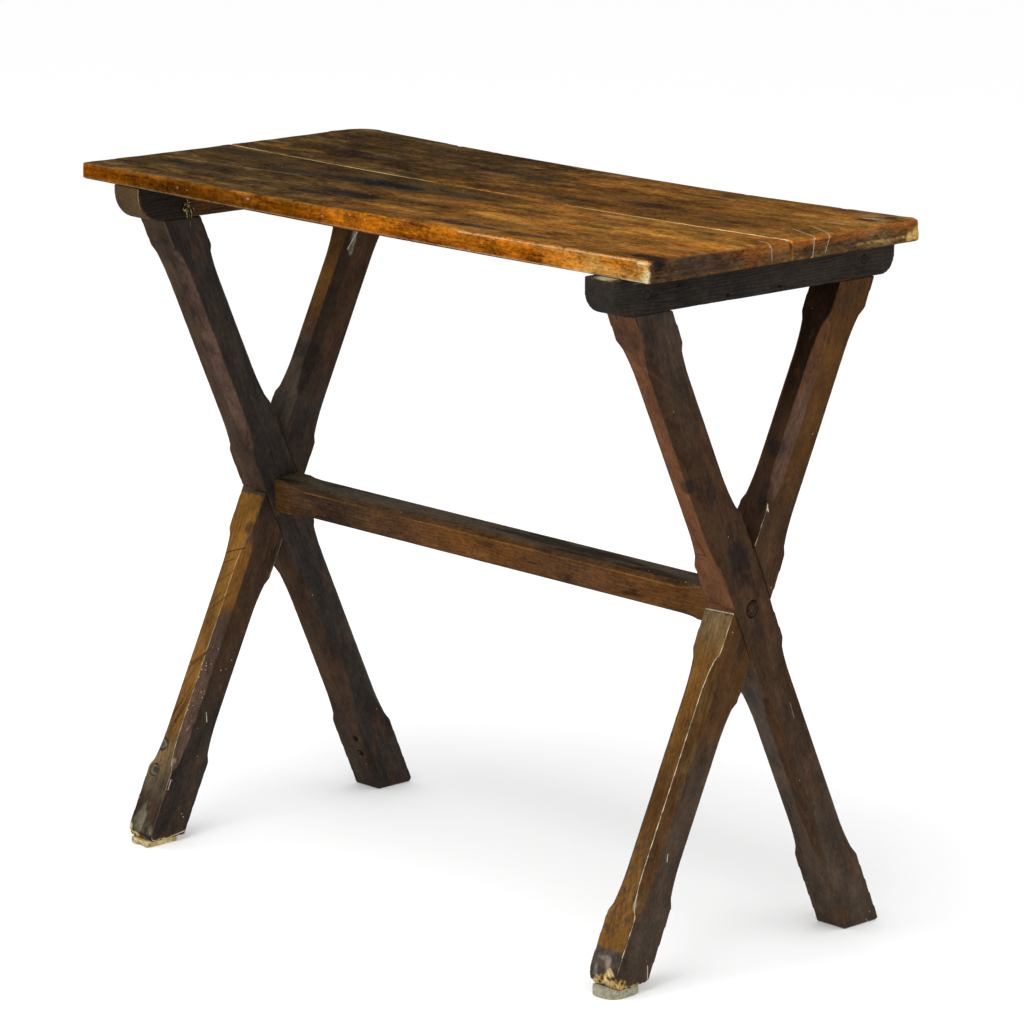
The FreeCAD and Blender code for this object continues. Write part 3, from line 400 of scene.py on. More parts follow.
def band(tree, value, low, high, to_low=0.0, to_high=1.0):
    """Maps a stretch of values to another, held at its ends."""
    return add(
        tree, "MapRange", {0: value, 1: low, 2: high, 3: to_low, 4: to_high},
        interpolation_type="SMOOTHSTEP",
    )


def old_wood(name, fibre=1.4, ring=3.0, fibres=0.25, rings=0.1, flecks=0.5, clouds=0.5,
             pores=0.4, gloss=0.5, film=0.06, pith=(0.07, -0.04), checks=0.6):
    """Old handled wood: planed and sawn, oiled and waxed, its pores filled with dirt.

    To the eye: short dark pores along soft rings, cloudy patches of patina, near-black drying
    checks, pale hair lines where an arris is rubbed, and a low sheen that torn or dusty wood lacks.
    """
    material, tree = blank(name)
    grain = add(tree, "Attribute", {}, "Vector", attribute_name="grain")
    coat = add(tree, "Attribute", {}, "Color", attribute_name="coat")
    bare = add(tree, "Attribute", {}, "Alpha", attribute_name="coat")
    marks = add(tree, "Attribute", {}, "Vector", attribute_name="marks")
    beside = add(tree, "SeparateXYZ", {0: marks}, "X")
    inked = add(tree, "SeparateXYZ", {0: marks}, "Y")
    specks = add(tree, "SeparateXYZ", {0: marks}, "Z")
    rim = add(tree, "Attribute", {}, "Vector", attribute_name="rim")
    lean = add(tree, "SeparateXYZ", {0: rim}, "X")
    rubbed = add(tree, "SeparateXYZ", {0: rim}, "Y")

    def stretched(vector, long, wide):
        """The grain's place, counted in humps that are long by wide, in mm."""
        per = (1 / (long * MM), 1 / (wide * MM), 1 / (wide * MM))
        return add(tree, "VectorMath", {0: vector, 1: per}, operation="MULTIPLY")

    def noise(vector, long, wide, detail, rough=0.5):
        """A noise whose humps are long by wide, in mm."""
        inputs = {"Vector": stretched(vector, long, wide), "Scale": 1.0, "Detail": detail,
                  "Roughness": rough}
        return add(tree, "TexNoise", inputs)

    # The grain wanders by a few millimetres over a hand's breadth.
    slow = {"Vector": stretched(grain, 140, 45), "Scale": 1.0, "Detail": 2.0}
    wander = add(tree, "TexNoise", slow, 1)
    wavy = add(
        tree, "VectorMath", {0: wander, 1: (0, 0.012, 0.012), 2: grain}, operation="MULTIPLY_ADD"
    )
    from_pith = add(tree, "VectorMath", {0: wavy, 1: (0, *pith)}, operation="SUBTRACT")
    # A ring of the Wave texture is 0.314 / scale wide.
    growth = add(
        tree, "TexWave",
        {"Vector": from_pith, "Scale": 0.314 / (ring * MM), "Distortion": 1.2, "Detail": 2.0,
         "Detail Scale": 0.4},
        1, wave_type="RINGS", rings_direction="X", wave_profile="SAW",
    )
    # Fibres are 0.2 mm wide; they are drawn about 1.4 mm wide so that they show.
    fine = noise(wavy, 26, fibre, 4.0, 0.65)
    fleck = noise(wavy, 5.5, 3.0, 6.0, 0.72)
    cloud = noise(grain, 48, 24, 4.0, 0.6)
    # Pores are 0.3 mm wide; they are drawn 0.9 mm wide.
    pore = noise(wavy, 7, 0.9, 1.0)
    # Drying checks are hair lines; they are drawn about 1 mm wide.
    check = noise(wavy, 70, 2.2, 2.0)
    open_check = band(tree, check, 0.33, 0.26, 0.0, checks)
    level = 0.5 - 0.5 * (rings + fibres + flecks + clouds)
    for value, weight in ((growth, rings), (fine, fibres), (fleck, flecks), (cloud, clouds)):
        level = add(tree, "Math", {0: value, 1: weight, 2: level}, operation="MULTIPLY_ADD")
    sunk = band(tree, pore, 0.42, 0.3, 0.0, 0.28 * pores)
    level = add(tree, "Math", {0: level, 1: sunk}, operation="SUBTRACT")
    depth = tree.nodes.new("ShaderNodeValToRGB")
    tree.links.new(level, depth.inputs[0])
    depth.color_ramp.elements[0].position = 0.22
    depth.color_ramp.elements[0].color = (0.13, 0.12, 0.12, 1)
    depth.color_ramp.elements[1].position = 0.8
    depth.color_ramp.elements[1].color = (1.0, 0.96, 0.86, 1)
    depth.color_ramp.elements.new(0.5).color = (0.5, 0.5, 0.5, 1)
    body = add(
        tree, "Mix", {0: 1.0, 6: coat, 7: depth.outputs[0]}, 2, data_type="RGBA",
        blend_type="MULTIPLY",
    )
    body = add(tree, "VectorMath", {0: body, "Scale": 2.0}, operation="SCALE")
    body = add(tree, "Mix", {0: open_check, 6: body, 7: linear("#0c0806")}, 2, data_type="RGBA")
    # Rubbed arrises and cracks are hair lines, and splashes of old limewash are fine specks. Some pale
    # arris lines are painted highlight as well as rubbed wood.
    across = add(tree, "Math", {0: beside}, operation="ABSOLUTE")
    hair = band(tree, across, 0.75, 0.35)
    broken = band(tree, fleck, 0.3, 0.55, 0.35, 1.0)
    hair = add(tree, "Math", {0: hair, 1: broken}, operation="MULTIPLY")
    hair = add(tree, "Math", {0: hair, 1: inked}, operation="MULTIPLY")
    # The pale line along the arrises of a face: rubbed wood and, on the front legs, painted highlight.
    edge = band(tree, add(tree, "Math", {0: lean}, operation="ABSOLUTE"), 0.5, 0.15)
    worn = band(tree, fleck, 0.36, 0.5, 0.3, 1.0)
    edge = add(tree, "Math", {0: edge, 1: rubbed}, operation="MULTIPLY")
    edge = add(tree, "Math", {0: edge, 1: worn}, operation="MULTIPLY")
    pale = add(tree, "Math", {0: hair, 1: edge}, operation="MAXIMUM")
    dark = add(tree, "Math", {0: hair, 1: -1.0}, operation="MULTIPLY", use_clamp=True)
    cells = {"Vector": grain, "Scale": 1 / (2.6 * MM)}
    chance = add(tree, "TexVoronoi", cells, "Color")
    small = band(tree, add(tree, "SeparateXYZ", {0: chance}, "Y"), 0.0, 1.0, 2.4, 0.8)
    dot = add(tree, "TexVoronoi", cells, "Distance")
    dot = band(tree, add(tree, "Math", {0: dot, 1: small}, operation="MULTIPLY"), 0.2, 0.12)
    pick = add(tree, "SeparateXYZ", {0: chance}, "X")
    pick = add(tree, "Math", {0: pick, 1: specks}, operation="LESS_THAN")
    splash = add(tree, "Math", {0: dot, 1: pick}, operation="MULTIPLY")
    pale = add(tree, "Math", {0: pale, 1: splash}, operation="MAXIMUM")
    body = add(tree, "Mix", {0: pale, 6: body, 7: linear("#cfc3a6")}, 2, data_type="RGBA")
    body = add(tree, "Mix", {0: dark, 6: body, 7: linear("#0a0706")}, 2, data_type="RGBA")
    sheen = add(tree, "MapRange", {0: fleck, 1: 0.3, 2: 0.7, 3: gloss - 0.08, 4: gloss + 0.12})
    rough = add(tree, "Math", {0: bare, 1: 0.35, 2: sheen}, operation="MULTIPLY_ADD")
    height = add(tree, "Math", {0: fine, 1: 0.7, 2: fleck}, operation="MULTIPLY_ADD")
    for low in (open_check, sunk, dark):
        height = add(tree, "Math", {0: height, 1: low}, operation="SUBTRACT")
    bump = add(tree, "Bump", {"Strength": 0.5, "Distance": 0.4 * MM, "Height": height})
    # Dirt scatters the wood's own mirror light.
    # What gloss there is lies in a thin, broken wax film.
    shader = add(
        tree, "BsdfPrincipled",
        {"Base Color": body, "Roughness": rough, "IOR": 1.45, "Specular IOR Level": 0.0,
         "Coat Weight": film, "Coat Roughness": gloss - 0.12, "Normal": bump},
    )
    add(tree, "OutputMaterial", {0: shader})
    return material


def felt_cloth(name, colour, deep):
    """Pressed wool felt, crushed and dirty. To the eye: matt and fuzzy, with darker clumps."""
    material, tree = blank(name)
    grain = add(tree, "Attribute", {}, "Vector", attribute_name="grain")
    clumps = add(tree, "TexNoise", {"Vector": grain, "Scale": 260.0, "Detail": 4.0})
    # Wool fibres are 0.03 mm; they are drawn about 0.7 mm wide.
    fine = {"Vector": grain, "Scale": 1400.0, "Detail": 3.0, "Distortion": 2.0}
    fibres = add(tree, "TexNoise", fine)
    both = add(tree, "Math", {0: clumps, 1: fibres}, operation="ADD")
    shade = band(tree, both, 0.75, 1.2)
    body = add(tree, "Mix", {0: shade, 6: linear(deep), 7: linear(colour)}, 2, data_type="RGBA")
    bump = add(tree, "Bump", {"Strength": 0.8, "Distance": 0.6 * MM, "Height": both})
    shader = add(
        tree, "BsdfPrincipled",
        {"Base Color": body, "Roughness": 0.95, "Sheen Weight": 0.3, "Sheen Roughness": 0.5,
         "Normal": bump},
    )
    add(tree, "OutputMaterial", {0: shader})
    return material


def rusted_iron(name):
    """Wrought iron sprig, rusted. To the eye: near-black brown scale with duller red-brown bloom."""
    material, tree = blank(name)
    place = add(tree, "TexCoord", {}, "Object")
    bloom = add(tree, "TexNoise", {"Vector": place, "Scale": 500.0, "Detail": 4.0})
    share = band(tree, bloom, 0.4, 0.6)
    scale_to_rust = {0: share, 6: linear("#1a1512"), 7: linear("#4a2a1a")}
    body = add(tree, "Mix", scale_to_rust, 2, data_type="RGBA")
    matt = band(tree, bloom, 0.4, 0.6, 0.5, 0.9)
    bump = add(tree, "Bump", {"Strength": 0.7, "Distance": 0.3 * MM, "Height": bloom})
    shader = add(
        tree, "BsdfPrincipled",
        {"Base Color": body, "Roughness": matt, "Metallic": band(tree, share, 0.0, 1.0, 0.8, 0.1),
         "Normal": bump},
    )
    add(tree, "OutputMaterial", {0: shader})
    return material


def backdrop_paper(name, colour, glow):
    """Matt white seamless paper, lit so that it nearly burns out."""
    material, tree = blank(name)
    place = add(tree, "TexCoord", {}, "Object")
    tooth = add(tree, "TexNoise", {"Vector": place, "Scale": 3.0, "Detail": 2.0})
    shade = band(tree, tooth, 0.3, 0.7, 0.985, 1.0)
    body = add(tree, "Mix", {0: shade, 6: linear("#e8e8e8"), 7: linear(colour)}, 2, data_type="RGBA")
    shader = add(
        tree, "BsdfPrincipled",
        {"Base Color": body, "Roughness": 0.9, "Specular IOR Level": 0.1,
         "Emission Color": linear("#ffffff"), "Emission Strength": glow},
    )
    add(tree, "OutputMaterial", {0: shader})
    return material


# ---------------------------------------------------------------------------------------------
# What a user would change
# ---------------------------------------------------------------------------------------------


def length(label, about, default):
    """A length property, kept in metres."""
    return bpy.props.FloatProperty(
        name=label, description=about, default=default, min=0.0, unit="LENGTH", subtype="DISTANCE",
        precision=5,
    )


def shade(label, about, default):
    """A colour property from an sRGB hex value, kept linear."""
    return bpy.props.FloatVectorProperty(
        name=label, description=about, default=linear(default)[:3], size=3, min=0.0, max=1.0,
        subtype="COLOR",
    )


class WearSizes(bpy.types.PropertyGroup):
    """How far the table is worn."""

    leg_pitch: length("Leg quads", "Size of the quads on legs, battens and stretcher", 1.3 * MM)
    board_pitch: length("Board quads", "Size of the quads on the boards", 2.05 * MM)
    small_pitch: length("Small quads", "Size of the quads on pegs, plugs and pads", 0.7 * MM)
    hand_plane: length("Hand plane waves", "Height of the waves left by planes and wear", 0.22 * MM)
    chip: length("Chips", "Depth of the chips along the arrises", 0.6 * MM)
    rounding: bpy.props.IntProperty(
        name="Arris rounding", description="Rounds of rubbing that the arrises get", default=2,
        min=0, max=40,
    )


class WoodColours(bpy.types.PropertyGroup):
    """Tones of the wood and of what lies on it."""

    top_dark: shade("Top, dark", "Boards where hands and dirt have darkened them", "#382a18")
    top_brown: shade("Top, brown", "Boards at their middle", "#4f3417")
    top_gold: shade("Top, golden", "Boards at the lighter right end", "#68451c")
    # Towards the right end of the top its patches are partly a painted sheen.
    top_honey: shade("Top, honey", "Bleached patches of the boards", "#8f6226")
    edge_dark: shade("Edge, dark", "Dark stretches of the front edge", "#4c2902")
    edge_orange: shade("Edge, orange", "Ground of the front edge", "#7a4004")
    # Along the upper arris of the front edge this tone is a painted highlight.
    edge_bright: shade("Edge, bright", "Rubbed patches of the front edge", "#aa6412")
    edge_pale: shade("Edge, pale", "Bare wood at the right of the front edge", "#a87a3c")
    end_grey: shade("End, grey", "Handled end grain", "#3e3026")
    end_warm: shade("End, warm", "End grain by the joint", "#523c27")
    end_orange: shade("End, orange", "Rubbed upper arris of the right end", "#8a4f1d")
    soot: shade("Soot", "Darkest sides of the legs", "#302a26")
    umber: shade("Umber", "Brown sides of the legs", "#3b2a1d")
    walnut: shade("Walnut", "Warm sides of the legs", "#4c3219")
    slate: shade("Slate", "Greyed wood near the floor", "#41362d")
    chestnut: shade("Chestnut", "Red-brown wood along the chamfers", "#62402a")
    ash: shade("Ash", "Dusty brown-grey wood", "#4a4139")
    olive: shade("Olive", "Green-grey toes", "#4b4437")
    khaki: shade("Khaki", "Faded front faces", "#665334")
    tobacco: shade("Tobacco", "Front faces in the shade", "#5b3d28")
    honey: shade("Honey", "Front faces that the light has bleached", "#6b4a21")
    amber: shade("Amber", "Brightest front face", "#7a5422")
    # Pitch is also laid as painted shade: the top's shadow on the right front leg's head and the
    # undersides of the boards.
    pitch: shade("Pitch", "Front faces black with handling", "#22170f")
    stretcher: shade("Stretcher", "Ground of the stretcher", "#503522")
    stretcher_gold: shade("Stretcher, golden", "Middle of the stretcher", "#5f3c1c")
    batten: shade("Battens", "Ground of the battens", "#2a2622")
    ink: shade("Ink", "Blue-black stains", "#15171b")
    rubbed: shade("Rubbed", "Wood laid bare along the arrises", "#7a5228")
    # Laid in corners, this tone is dirt and painted shade.
    grime_and_shade: shade("Grime", "Dirt in the corners", "#0d0a08")
    # On the top's right end and the left front leg's head this tone is partly painted sheen and
    # highlight.
    dust: shade("Dust", "Chalky scuffs", "#b9b3a4")
    torn: shade("Torn", "Fresh torn wood", "#b59452")
    plug: shade("Plugs", "Plugs of the old holes", "#625f50")
    faded: shade("Faded", "Grey-gold wood at the laps", "#6e5a3c")
    rosy: shade("Rosy", "Pink-grey wood of the left chamfers", "#574339")
    filling: shade("Joint filling", "Wax and whiting between the boards", "#a39363")
    bone: shade("Bone", "Palest torn or filled wood", "#cfc096")
    straw: shade("Straw", "Torn wood that has aged", "#a8945c")
    lichen: shade("Lichen", "Green-grey dust on the right batten", "#8d8a6e")
    felt: shade("Felt", "Pad under the right front foot", "#a9a184")


class StudioSetup(bpy.types.PropertyGroup):
    """Camera and lights."""

    camera_place: bpy.props.FloatVectorProperty(
        name="Camera place", description="Where the camera stands", subtype="XYZ", unit="LENGTH",
        default=(3.32805, -3.4103, 1.4759), size=3,
    )
    camera_turn: bpy.props.FloatProperty(
        name="Camera turn", description="Turn from the front towards the right end",
        default=math.radians(44.0), subtype="ANGLE",
    )
    camera_rise: bpy.props.FloatProperty(
        name="Camera rise", description="How far the camera looks down", subtype="ANGLE",
        default=math.radians(12.86),
    )
    camera_roll: bpy.props.FloatProperty(
        name="Camera roll", description="Roll about the line of sight", subtype="ANGLE",
        default=math.radians(1.28),
    )
    lens: bpy.props.FloatProperty(
        name="Lens", description="Focal length in millimetres", default=170.42, min=10.0,
        unit="CAMERA",
    )
    key_power: bpy.props.FloatProperty(
        name="Key power", description="Power of the soft key light", default=42.0, unit="POWER"
    )
    sky: bpy.props.FloatProperty(
        name="Room light", description="Strength of the white room", default=1.0, min=0.0
    )
    floor_glow: bpy.props.FloatProperty(
        name="Floor glow", description="How much the paper glows by itself", default=0.09, min=0.0
    )


# ---------------------------------------------------------------------------------------------
# Wear and marks
# ---------------------------------------------------------------------------------------------


def rub(skin, sizes, chips=1.0, waves=1.0, rounding=1.0):
    """Rounds the arrises unevenly, leaves plane waves on the faces and chips along the arrises."""
    crest = ramp(0.15, 0.6, skin.spread(np.abs(skin.crest()), 3) * 2)
    uneven = ramp(-0.5, 0.6, skin.cloud(45, 17, 3))
    skin.relax(crest * (0.25 + 0.75 * uneven), int(round(sizes.rounding * rounding)))
    height = skin.cloud(90, 26, 5) * sizes.hand_plane * waves + skin.cloud(17, 5, 9, 2) * 0.06 * MM
    bite = ramp(0.4, 0.62, skin.cloud(13, 8, 11))
    arris = ramp(0.1, 0.5, skin.spread(skin.crest().clip(0, 1), 2) * 2)
    skin.push(height - bite * arris * sizes.chip * chips)
    return skin


def age_and_shade(skin, coat, bare="rubbed", dirt="grime_and_shade", amount=1.0):
    """Rubs the arrises that stand out and darkens the corners with dirt and painted shade."""
    crest = skin.spread(skin.crest(), 1)
    coat.wash(bare, 0.5 * amount * ramp(0.12, 0.5, crest) * ramp(-0.25, 0.4, skin.cloud(30, 9, 61)))
    # Corners darkened: dirt and painted shade, as from occlusion.
    coat.wash(dirt, 0.8 * ramp(0.1, 0.45, -crest))
    return coat


def mottle(skin, coat, dark, light, amount=1.0):
    """Lays blotches of a darker and a lighter tone, from a thumb's width to a grain of rice."""
    coat.wash(dark, 0.75 * amount * ramp(0.05, 0.55, skin.cloud(46, 17, 41)))
    coat.wash(light, 0.6 * amount * ramp(0.05, 0.6, skin.cloud(30, 11, 43)))
    coat.wash(dark, 0.55 * amount * ramp(0.1, 0.5, skin.cloud(11, 5, 45)))
    coat.wash(light, 0.5 * amount * ramp(0.15, 0.6, skin.cloud(7, 4, 47)))
    return coat


def tear(skin, coat, mask, depth=2.4):
    """Breaks wood away in crumbs where the mask is 1 and shows it pale."""
    crumb = 0.5 * skin.cloud(6, 4, 63, 2) + 0.5 * skin.cloud(2.6, 2.2, 65, 2)
    skin.push(-mask * (0.45 + crumb).clip(0, 1.2) * depth * MM)
    coat.wash("torn", mask, 1.0)
    coat.wash("bone", 0.7 * mask * ramp(-0.05, -0.3, crumb), 1.0)
    coat.wash("rubbed", 0.7 * mask * ramp(0.0, 0.16, crumb), 1.0)
    coat.wash("umber", 0.95 * mask * ramp(0.12, 0.26, crumb), 1.0)


TOP_INK = (
    (-105, -50, 716, 62, 16, 0.95), (-150, -58, 716, 50, 6, 0.7), (-80, -125, 716, 46, 17, 0.9),
    (-110, -145, 716, 34, 7, 0.8), (130, -172, 716, 56, 8, 0.8), (215, -172, 716, 48, 6, 0.7),
    (372, -181, 717, 26, 9, 0.95), (388, -186, 717, 10, 9, 0.9), (-209, -68, 716, 50, 12, 0.6),
    (-296, -126, 716, 60, 16, 0.5), (366, 140, 717, 16, 7, 0.8), (374, 168, 717, 9, 6, 0.8),
    (20, -110, 716, 50, 7, 0.5), (90, -60, 716, 46, 6, 0.4), (250, -40, 716, 40, 5, 0.35),
    (-250, 60, 716, 60, 14, 0.45), (-60, 100, 716, 80, 14, 0.5), (60, 30, 716, 70, 9, 0.55),
    (300, -110, 716, 30, 5, 0.4), (170, 60, 716, 60, 12, 0.55), (270, 40, 716, 50, 10, 0.5),
    (0, -40, 716, 50, 10, 0.5), (-330, -30, 716, 40, 16, 0.4), (-340, 120, 716, 40, 20, 0.4),
)
TOP_CHALK_AND_SHEEN = (
    (361, -77, 717, 2.6, 1.6, 0.9), (-103, -67, 715, 3, 1.3, 0.8), (-82, -61, 715, 3, 1.3, 0.7),
    # The grey patches at the right end, at the back, are dust and painted sheen.
    (372, 186, 717, 7, 7, 0.35), (368, 150, 717, 16, 4, 0.3), (378, 120, 717, 9, 3, 0.25),
    (-247, -200, 706, 2.4, 1.0, 0.3), (-144, -200, 708, 2.4, 0.8, 0.25),
)
TOP_HONEY_AND_SHEEN = (
    # Honey patches; towards the right end they are partly a painted sheen.
    (300, -60, 716, 80, 26, 0.9), (370, -70, 716, 40, 26, 0.9), (200, -80, 716, 70, 22, 0.7),
    (350, 120, 716, 50, 18, 0.7), (110, -110, 716, 60, 14, 0.6), (257, 100, 716, 50, 12, 0.5),
    (100, 130, 716, 70, 12, 0.5), (10, -150, 716, 60, 9, 0.6), (330, -140, 716, 50, 12, 0.6),
    (110, -40, 716, 50, 10, 0.5), (-30, -90, 716, 40, 8, 0.4),
)
TOP_HAIRS = (
    (394.8, -32, 714, 394.8, -31, 703, 0.4), (394, -33, 717, 376, -29, 717, 0.4),
    (394.8, 29.3, 715, 394.8, 27.3, 698, 0.5),
    (394, 31, 717, 350, 50, 717, 0.4), (394.8, 51, 715, 394.8, 46, 703, 0.45),
    (394, 52, 717, 356, 73, 717, 0.35), (-372, -105, 715, -195, -81, 715, 0.2),
    # A pale line along the upper arris of the front edge: painted highlight.
    (150, -199, 714.5, 394, -199, 718, 0.4),
    (-385, -1.8, 714, -250, -3.2, 714, 0.7), (-250, -3.2, 714, -130, -3.0, 714, 0.4),
    (80, -3.2, 715, 200, -3.2, 716, 0.5), (200, -3.2, 716, 394, -3.2, 718, 0.95),
    (300, -150, 717, 340, -146, 717, 0.3), (120, 150, 716, 190, 146, 716, 0.25),
    (-390, -199.7, 698.6, 120, -199.7, 698.2, 0.15),
    (120, -199.7, 698.2, 300, -199.7, 698.4, 0.3), (300, -199.7, 698.4, 394, -199.7, 699, 0.8),
)


def board(context, node, name, slot, pith):
    """One board of the top."""
    sizes = context.scene.sawbuck_wear
    skin = Skin(node, sizes.board_pitch)
    x, y, z = (skin.start / MM).T
    skin.relax(0.9 * ramp(386, 391, x) * ramp(706, 711, z), 14)
    rub(skin, sizes, chips=1.2, waves=0.9)
    coat = Coat(skin, (-390, "top_dark"), (-120, "top_dark"), (40, "top_brown"),
                (230, "top_gold"), (390, "top_gold"), along=x)
    # Lighter honey patches, partly a painted sheen at the right end.
    coat.wash("top_honey", skin.spots(TOP_HONEY_AND_SHEEN, 30, 0.7))
    coat.wash("end_orange", 0.5 * ramp(0.0, 0.5, skin.cloud(90, 24, 95)) * ramp(-160, 120, x))
    mottle(skin, coat, "top_dark", "top_honey", 0.5 + 0.3 * ramp(-100, 200, x))
    coat.wash("pitch", 0.5 * ramp(0.2, 0.6, skin.cloud(60, 14, 81)) * ramp(260, -60, x))
    coat.wash("khaki", 0.3 * ramp(0.1, 0.5, skin.cloud(36, 9, 97)))
    coat.wash("faded", 0.45 * ramp(290, 360, x) * ramp(60, 110, y)
              * ramp(-0.3, 0.3, skin.cloud(24, 8, 129)))
    worked = ramp(-0.8, 0.1, skin.cloud(60, 12, 119))
    coat.wash("top_brown", 0.85 * worked * ramp(2, 16, y) * ramp(130, 90, y) * ramp(40, 90, x)
              * ramp(350, 300, x))
    coat.wash("top_brown", 0.6 * worked * ramp(110, 150, y) * ramp(350, 310, x) * ramp(40, 100, x))
    coat.wash("top_brown", 0.6 * worked * ramp(-125, -150, y) * ramp(260, 310, x))
    coat.wash("top_dark", 0.8 * worked * ramp(-90, -60, y) * ramp(60, 0, x) * (y < -2))
    coat.wash("pitch", 0.35 * worked * ramp(2, 30, y) * ramp(-60, -120, x) * ramp(-330, -280, x))
    coat.wash("faded", 0.55 * ramp(-188, -196, y) * ramp(-180, -260, x)
              * ramp(-0.4, 0.2, skin.cloud(30, 6, 99)))
    edge = Coat(skin, (-430, "edge_orange"), (-310, "edge_dark"), (-90, "edge_dark"),
                (-20, "edge_orange"), (60, "edge_orange"), (250, "edge_orange"),
                (310, "edge_pale"), (390, "edge_pale"), along=x)
    right = 0.3 + 0.7 * ramp(-110, 10, x)
    edge.wash("edge_bright", 0.7 * right * ramp(0.0, 0.4, skin.cloud(60, 9, 101)))
    edge.wash("end_orange", 0.5 * right * ramp(0.0, 0.4, skin.cloud(40, 6, 103)))
    edge.wash("edge_dark", 0.5 * ramp(0.05, 0.4, skin.cloud(24, 3, 105)) * ramp(340, 300, x))
    # A lighter band along the upper arris of the front edge: painted highlight.
    edge.wash("edge_bright", 0.6 * right * ramp(707, 713, z)
              * ramp(-0.5, 0.2, skin.cloud(30, 30, 83)))
    edge.wash("edge_bright", 0.5 * ramp(240, 270, x) * ramp(330, 300, x))
    edge.wash("edge_bright", 0.4 * ramp(70, 20, np.abs(x)) + 0.4 * ramp(60, 20, np.abs(x - 195)))
    coat.wash(edge, skin.facing(0, -1, 0.15))
    end = Coat(skin, (-205, "end_warm"), (-150, "end_grey"), (-100, "end_grey"), (-60, "end_warm"),
               (70, "end_warm"), (90, "end_grey"), (120, "end_warm"), (195, "end_warm"), along=y)
    end.wash("end_orange", 0.3 * ramp(-80, -60, y) * ramp(-30, -50, y))
    end.wash("end_orange", 0.5 * ramp(707, 713, z) * ramp(-130, -40, y))
    end.wash("faded", 0.6 * ramp(100, 115, y) * ramp(150, 135, y))
    end.wash("pitch", 0.35 * ramp(0.1, 0.6, skin.cloud(40, 12, 85)))
    sawn = np.abs(skin.start_normals[:, 0]) > 0.6
    turned = np.stack((skin.flow[:, 1], skin.flow[:, 2] * 1.6, skin.flow[:, 0]), 1)
    skin.flow = np.where(sawn[:, None], turned, skin.flow)
    coat.wash(end, skin.facing(1, 0, 0, 0.45, 0.85))
    coat.wash("end_orange", 0.85 * skin.facing(1, 0, 1, 0.7, 0.95) * ramp(372, 386, x)
              * ramp(-90, -20, y) * ramp(-0.7, 0.0, skin.cloud(20, 40, 49)))
    coat.wash("pitch", 0.5 * skin.facing(-1, 0, 0))
    coat.wash("ink", skin.spots(TOP_INK, 33, 0.65) * 0.95)
    away = ramp(3, 8, np.abs(y + 1.5))
    bare = Coat(skin, "edge_pale")
    kept = coat.colour.copy()
    age_and_shade(skin, coat, bare, amount=0.6)
    coat.colour = kept + away[:, None] * (coat.colour - kept)
    pale = skin.spots(
        ((394, 170, 703, 4, 6, 1.0), (394, 180, 705, 4, 8, 1.0), (395, 186, 708, 4, 7, 0.9)), 31, 0.3)
    pale = np.maximum(pale, 0.8 * ramp(1.8, 0.6, np.abs(z - 703.6)) * ramp(86, 96, y)
                      * ramp(168, 160, y) * skin.facing(1, 0, 0)
                      * ramp(-0.4, 0.1, skin.cloud(4, 4, 107)))
    corner = skin.spots(
        ((390, -199.7, 706, 5, 7, 1.0), (388, -199.7, 702, 8, 4, 0.9), (376, -199.7, 700, 12, 2, 0.5),
         (386, -199, 716, 9, 2.5, 0.9)), 109, 0.3) * skin.facing(0, -1, 0.3)
    coat.wash("torn", np.maximum(pale, corner) * 0.9, 1.0)
    coat.wash("bone", corner * ramp(-0.2, 0.3, skin.cloud(5, 3, 111)), 1.0)
    # Chalk and dust, and at the right end partly a painted sheen.
    coat.wash("dust", skin.spots(TOP_CHALK_AND_SHEEN, 35, 0.6), 1.0)
    # Faces that look down are darkened: painted shade under the top.
    coat.wash("pitch", 0.6 * skin.facing(0, 0, -1))
    skin.scratch(TOP_HAIRS)
    skin.specks = 0.008 + 0.05 * skin.facing(0, -1, 1, 0.6, 0.9) * (y < -190)
    wood = old_wood(
        name.replace("_", " ").capitalize() + ", oiled and rubbed wood",
        fibre=1.8, ring=3.6, fibres=0.4, flecks=1.1, clouds=0.9, rings=0.06, pores=0.5, gloss=0.5,
        film=0.012, pith=pith,
    )
    return skin.object(name, wood, slot, coat)


class SAWBUCK_OT_boards(bpy.types.Operator):
    """Wear the two boards of the top and fill the joint between them"""

    bl_idname = "sawbuck.boards"
    bl_label = "Boards"

    def execute(self, context):
        board(context, "front_board", "worn_front_board", "front_board_wood", (-0.07, -0.05))
        board(context, "back_board", "worn_back_board", "back_board_wood", (0.05, -0.06))
        skin = Skin("joint_filler", context.scene.sawbuck_wear.small_pitch)
        x = skin.start[:, 0] / MM
        coat = Coat(skin, "top_dark")
        pale = 1.0 - 0.8 * ramp(-130, -40, x) * ramp(170, 60, x)
        coat.wash("filling", pale * ramp(-0.9, -0.1, skin.cloud(30, 30, 3)), 1.0)
        coat.wash("bone", ramp(200, 300, x) * 0.9, 1.0)
        coat.wash("end_warm", ramp(386, 391, x))
        skin.push(0.12 * MM * skin.cloud(7, 2, 5))
        worn = (717.4 - (x - 386).clip(0) ** 2 / 12) * MM
        skin.local[:, 2] = np.where(x > 386, np.minimum(skin.local[:, 2], worn), skin.local[:, 2])
        wood = old_wood("Joint filling, old wax and whiting", flecks=0.5, clouds=0.2)
        skin.object("joint_filling", wood, "joint_filling", coat)
        return {"FINISHED"}


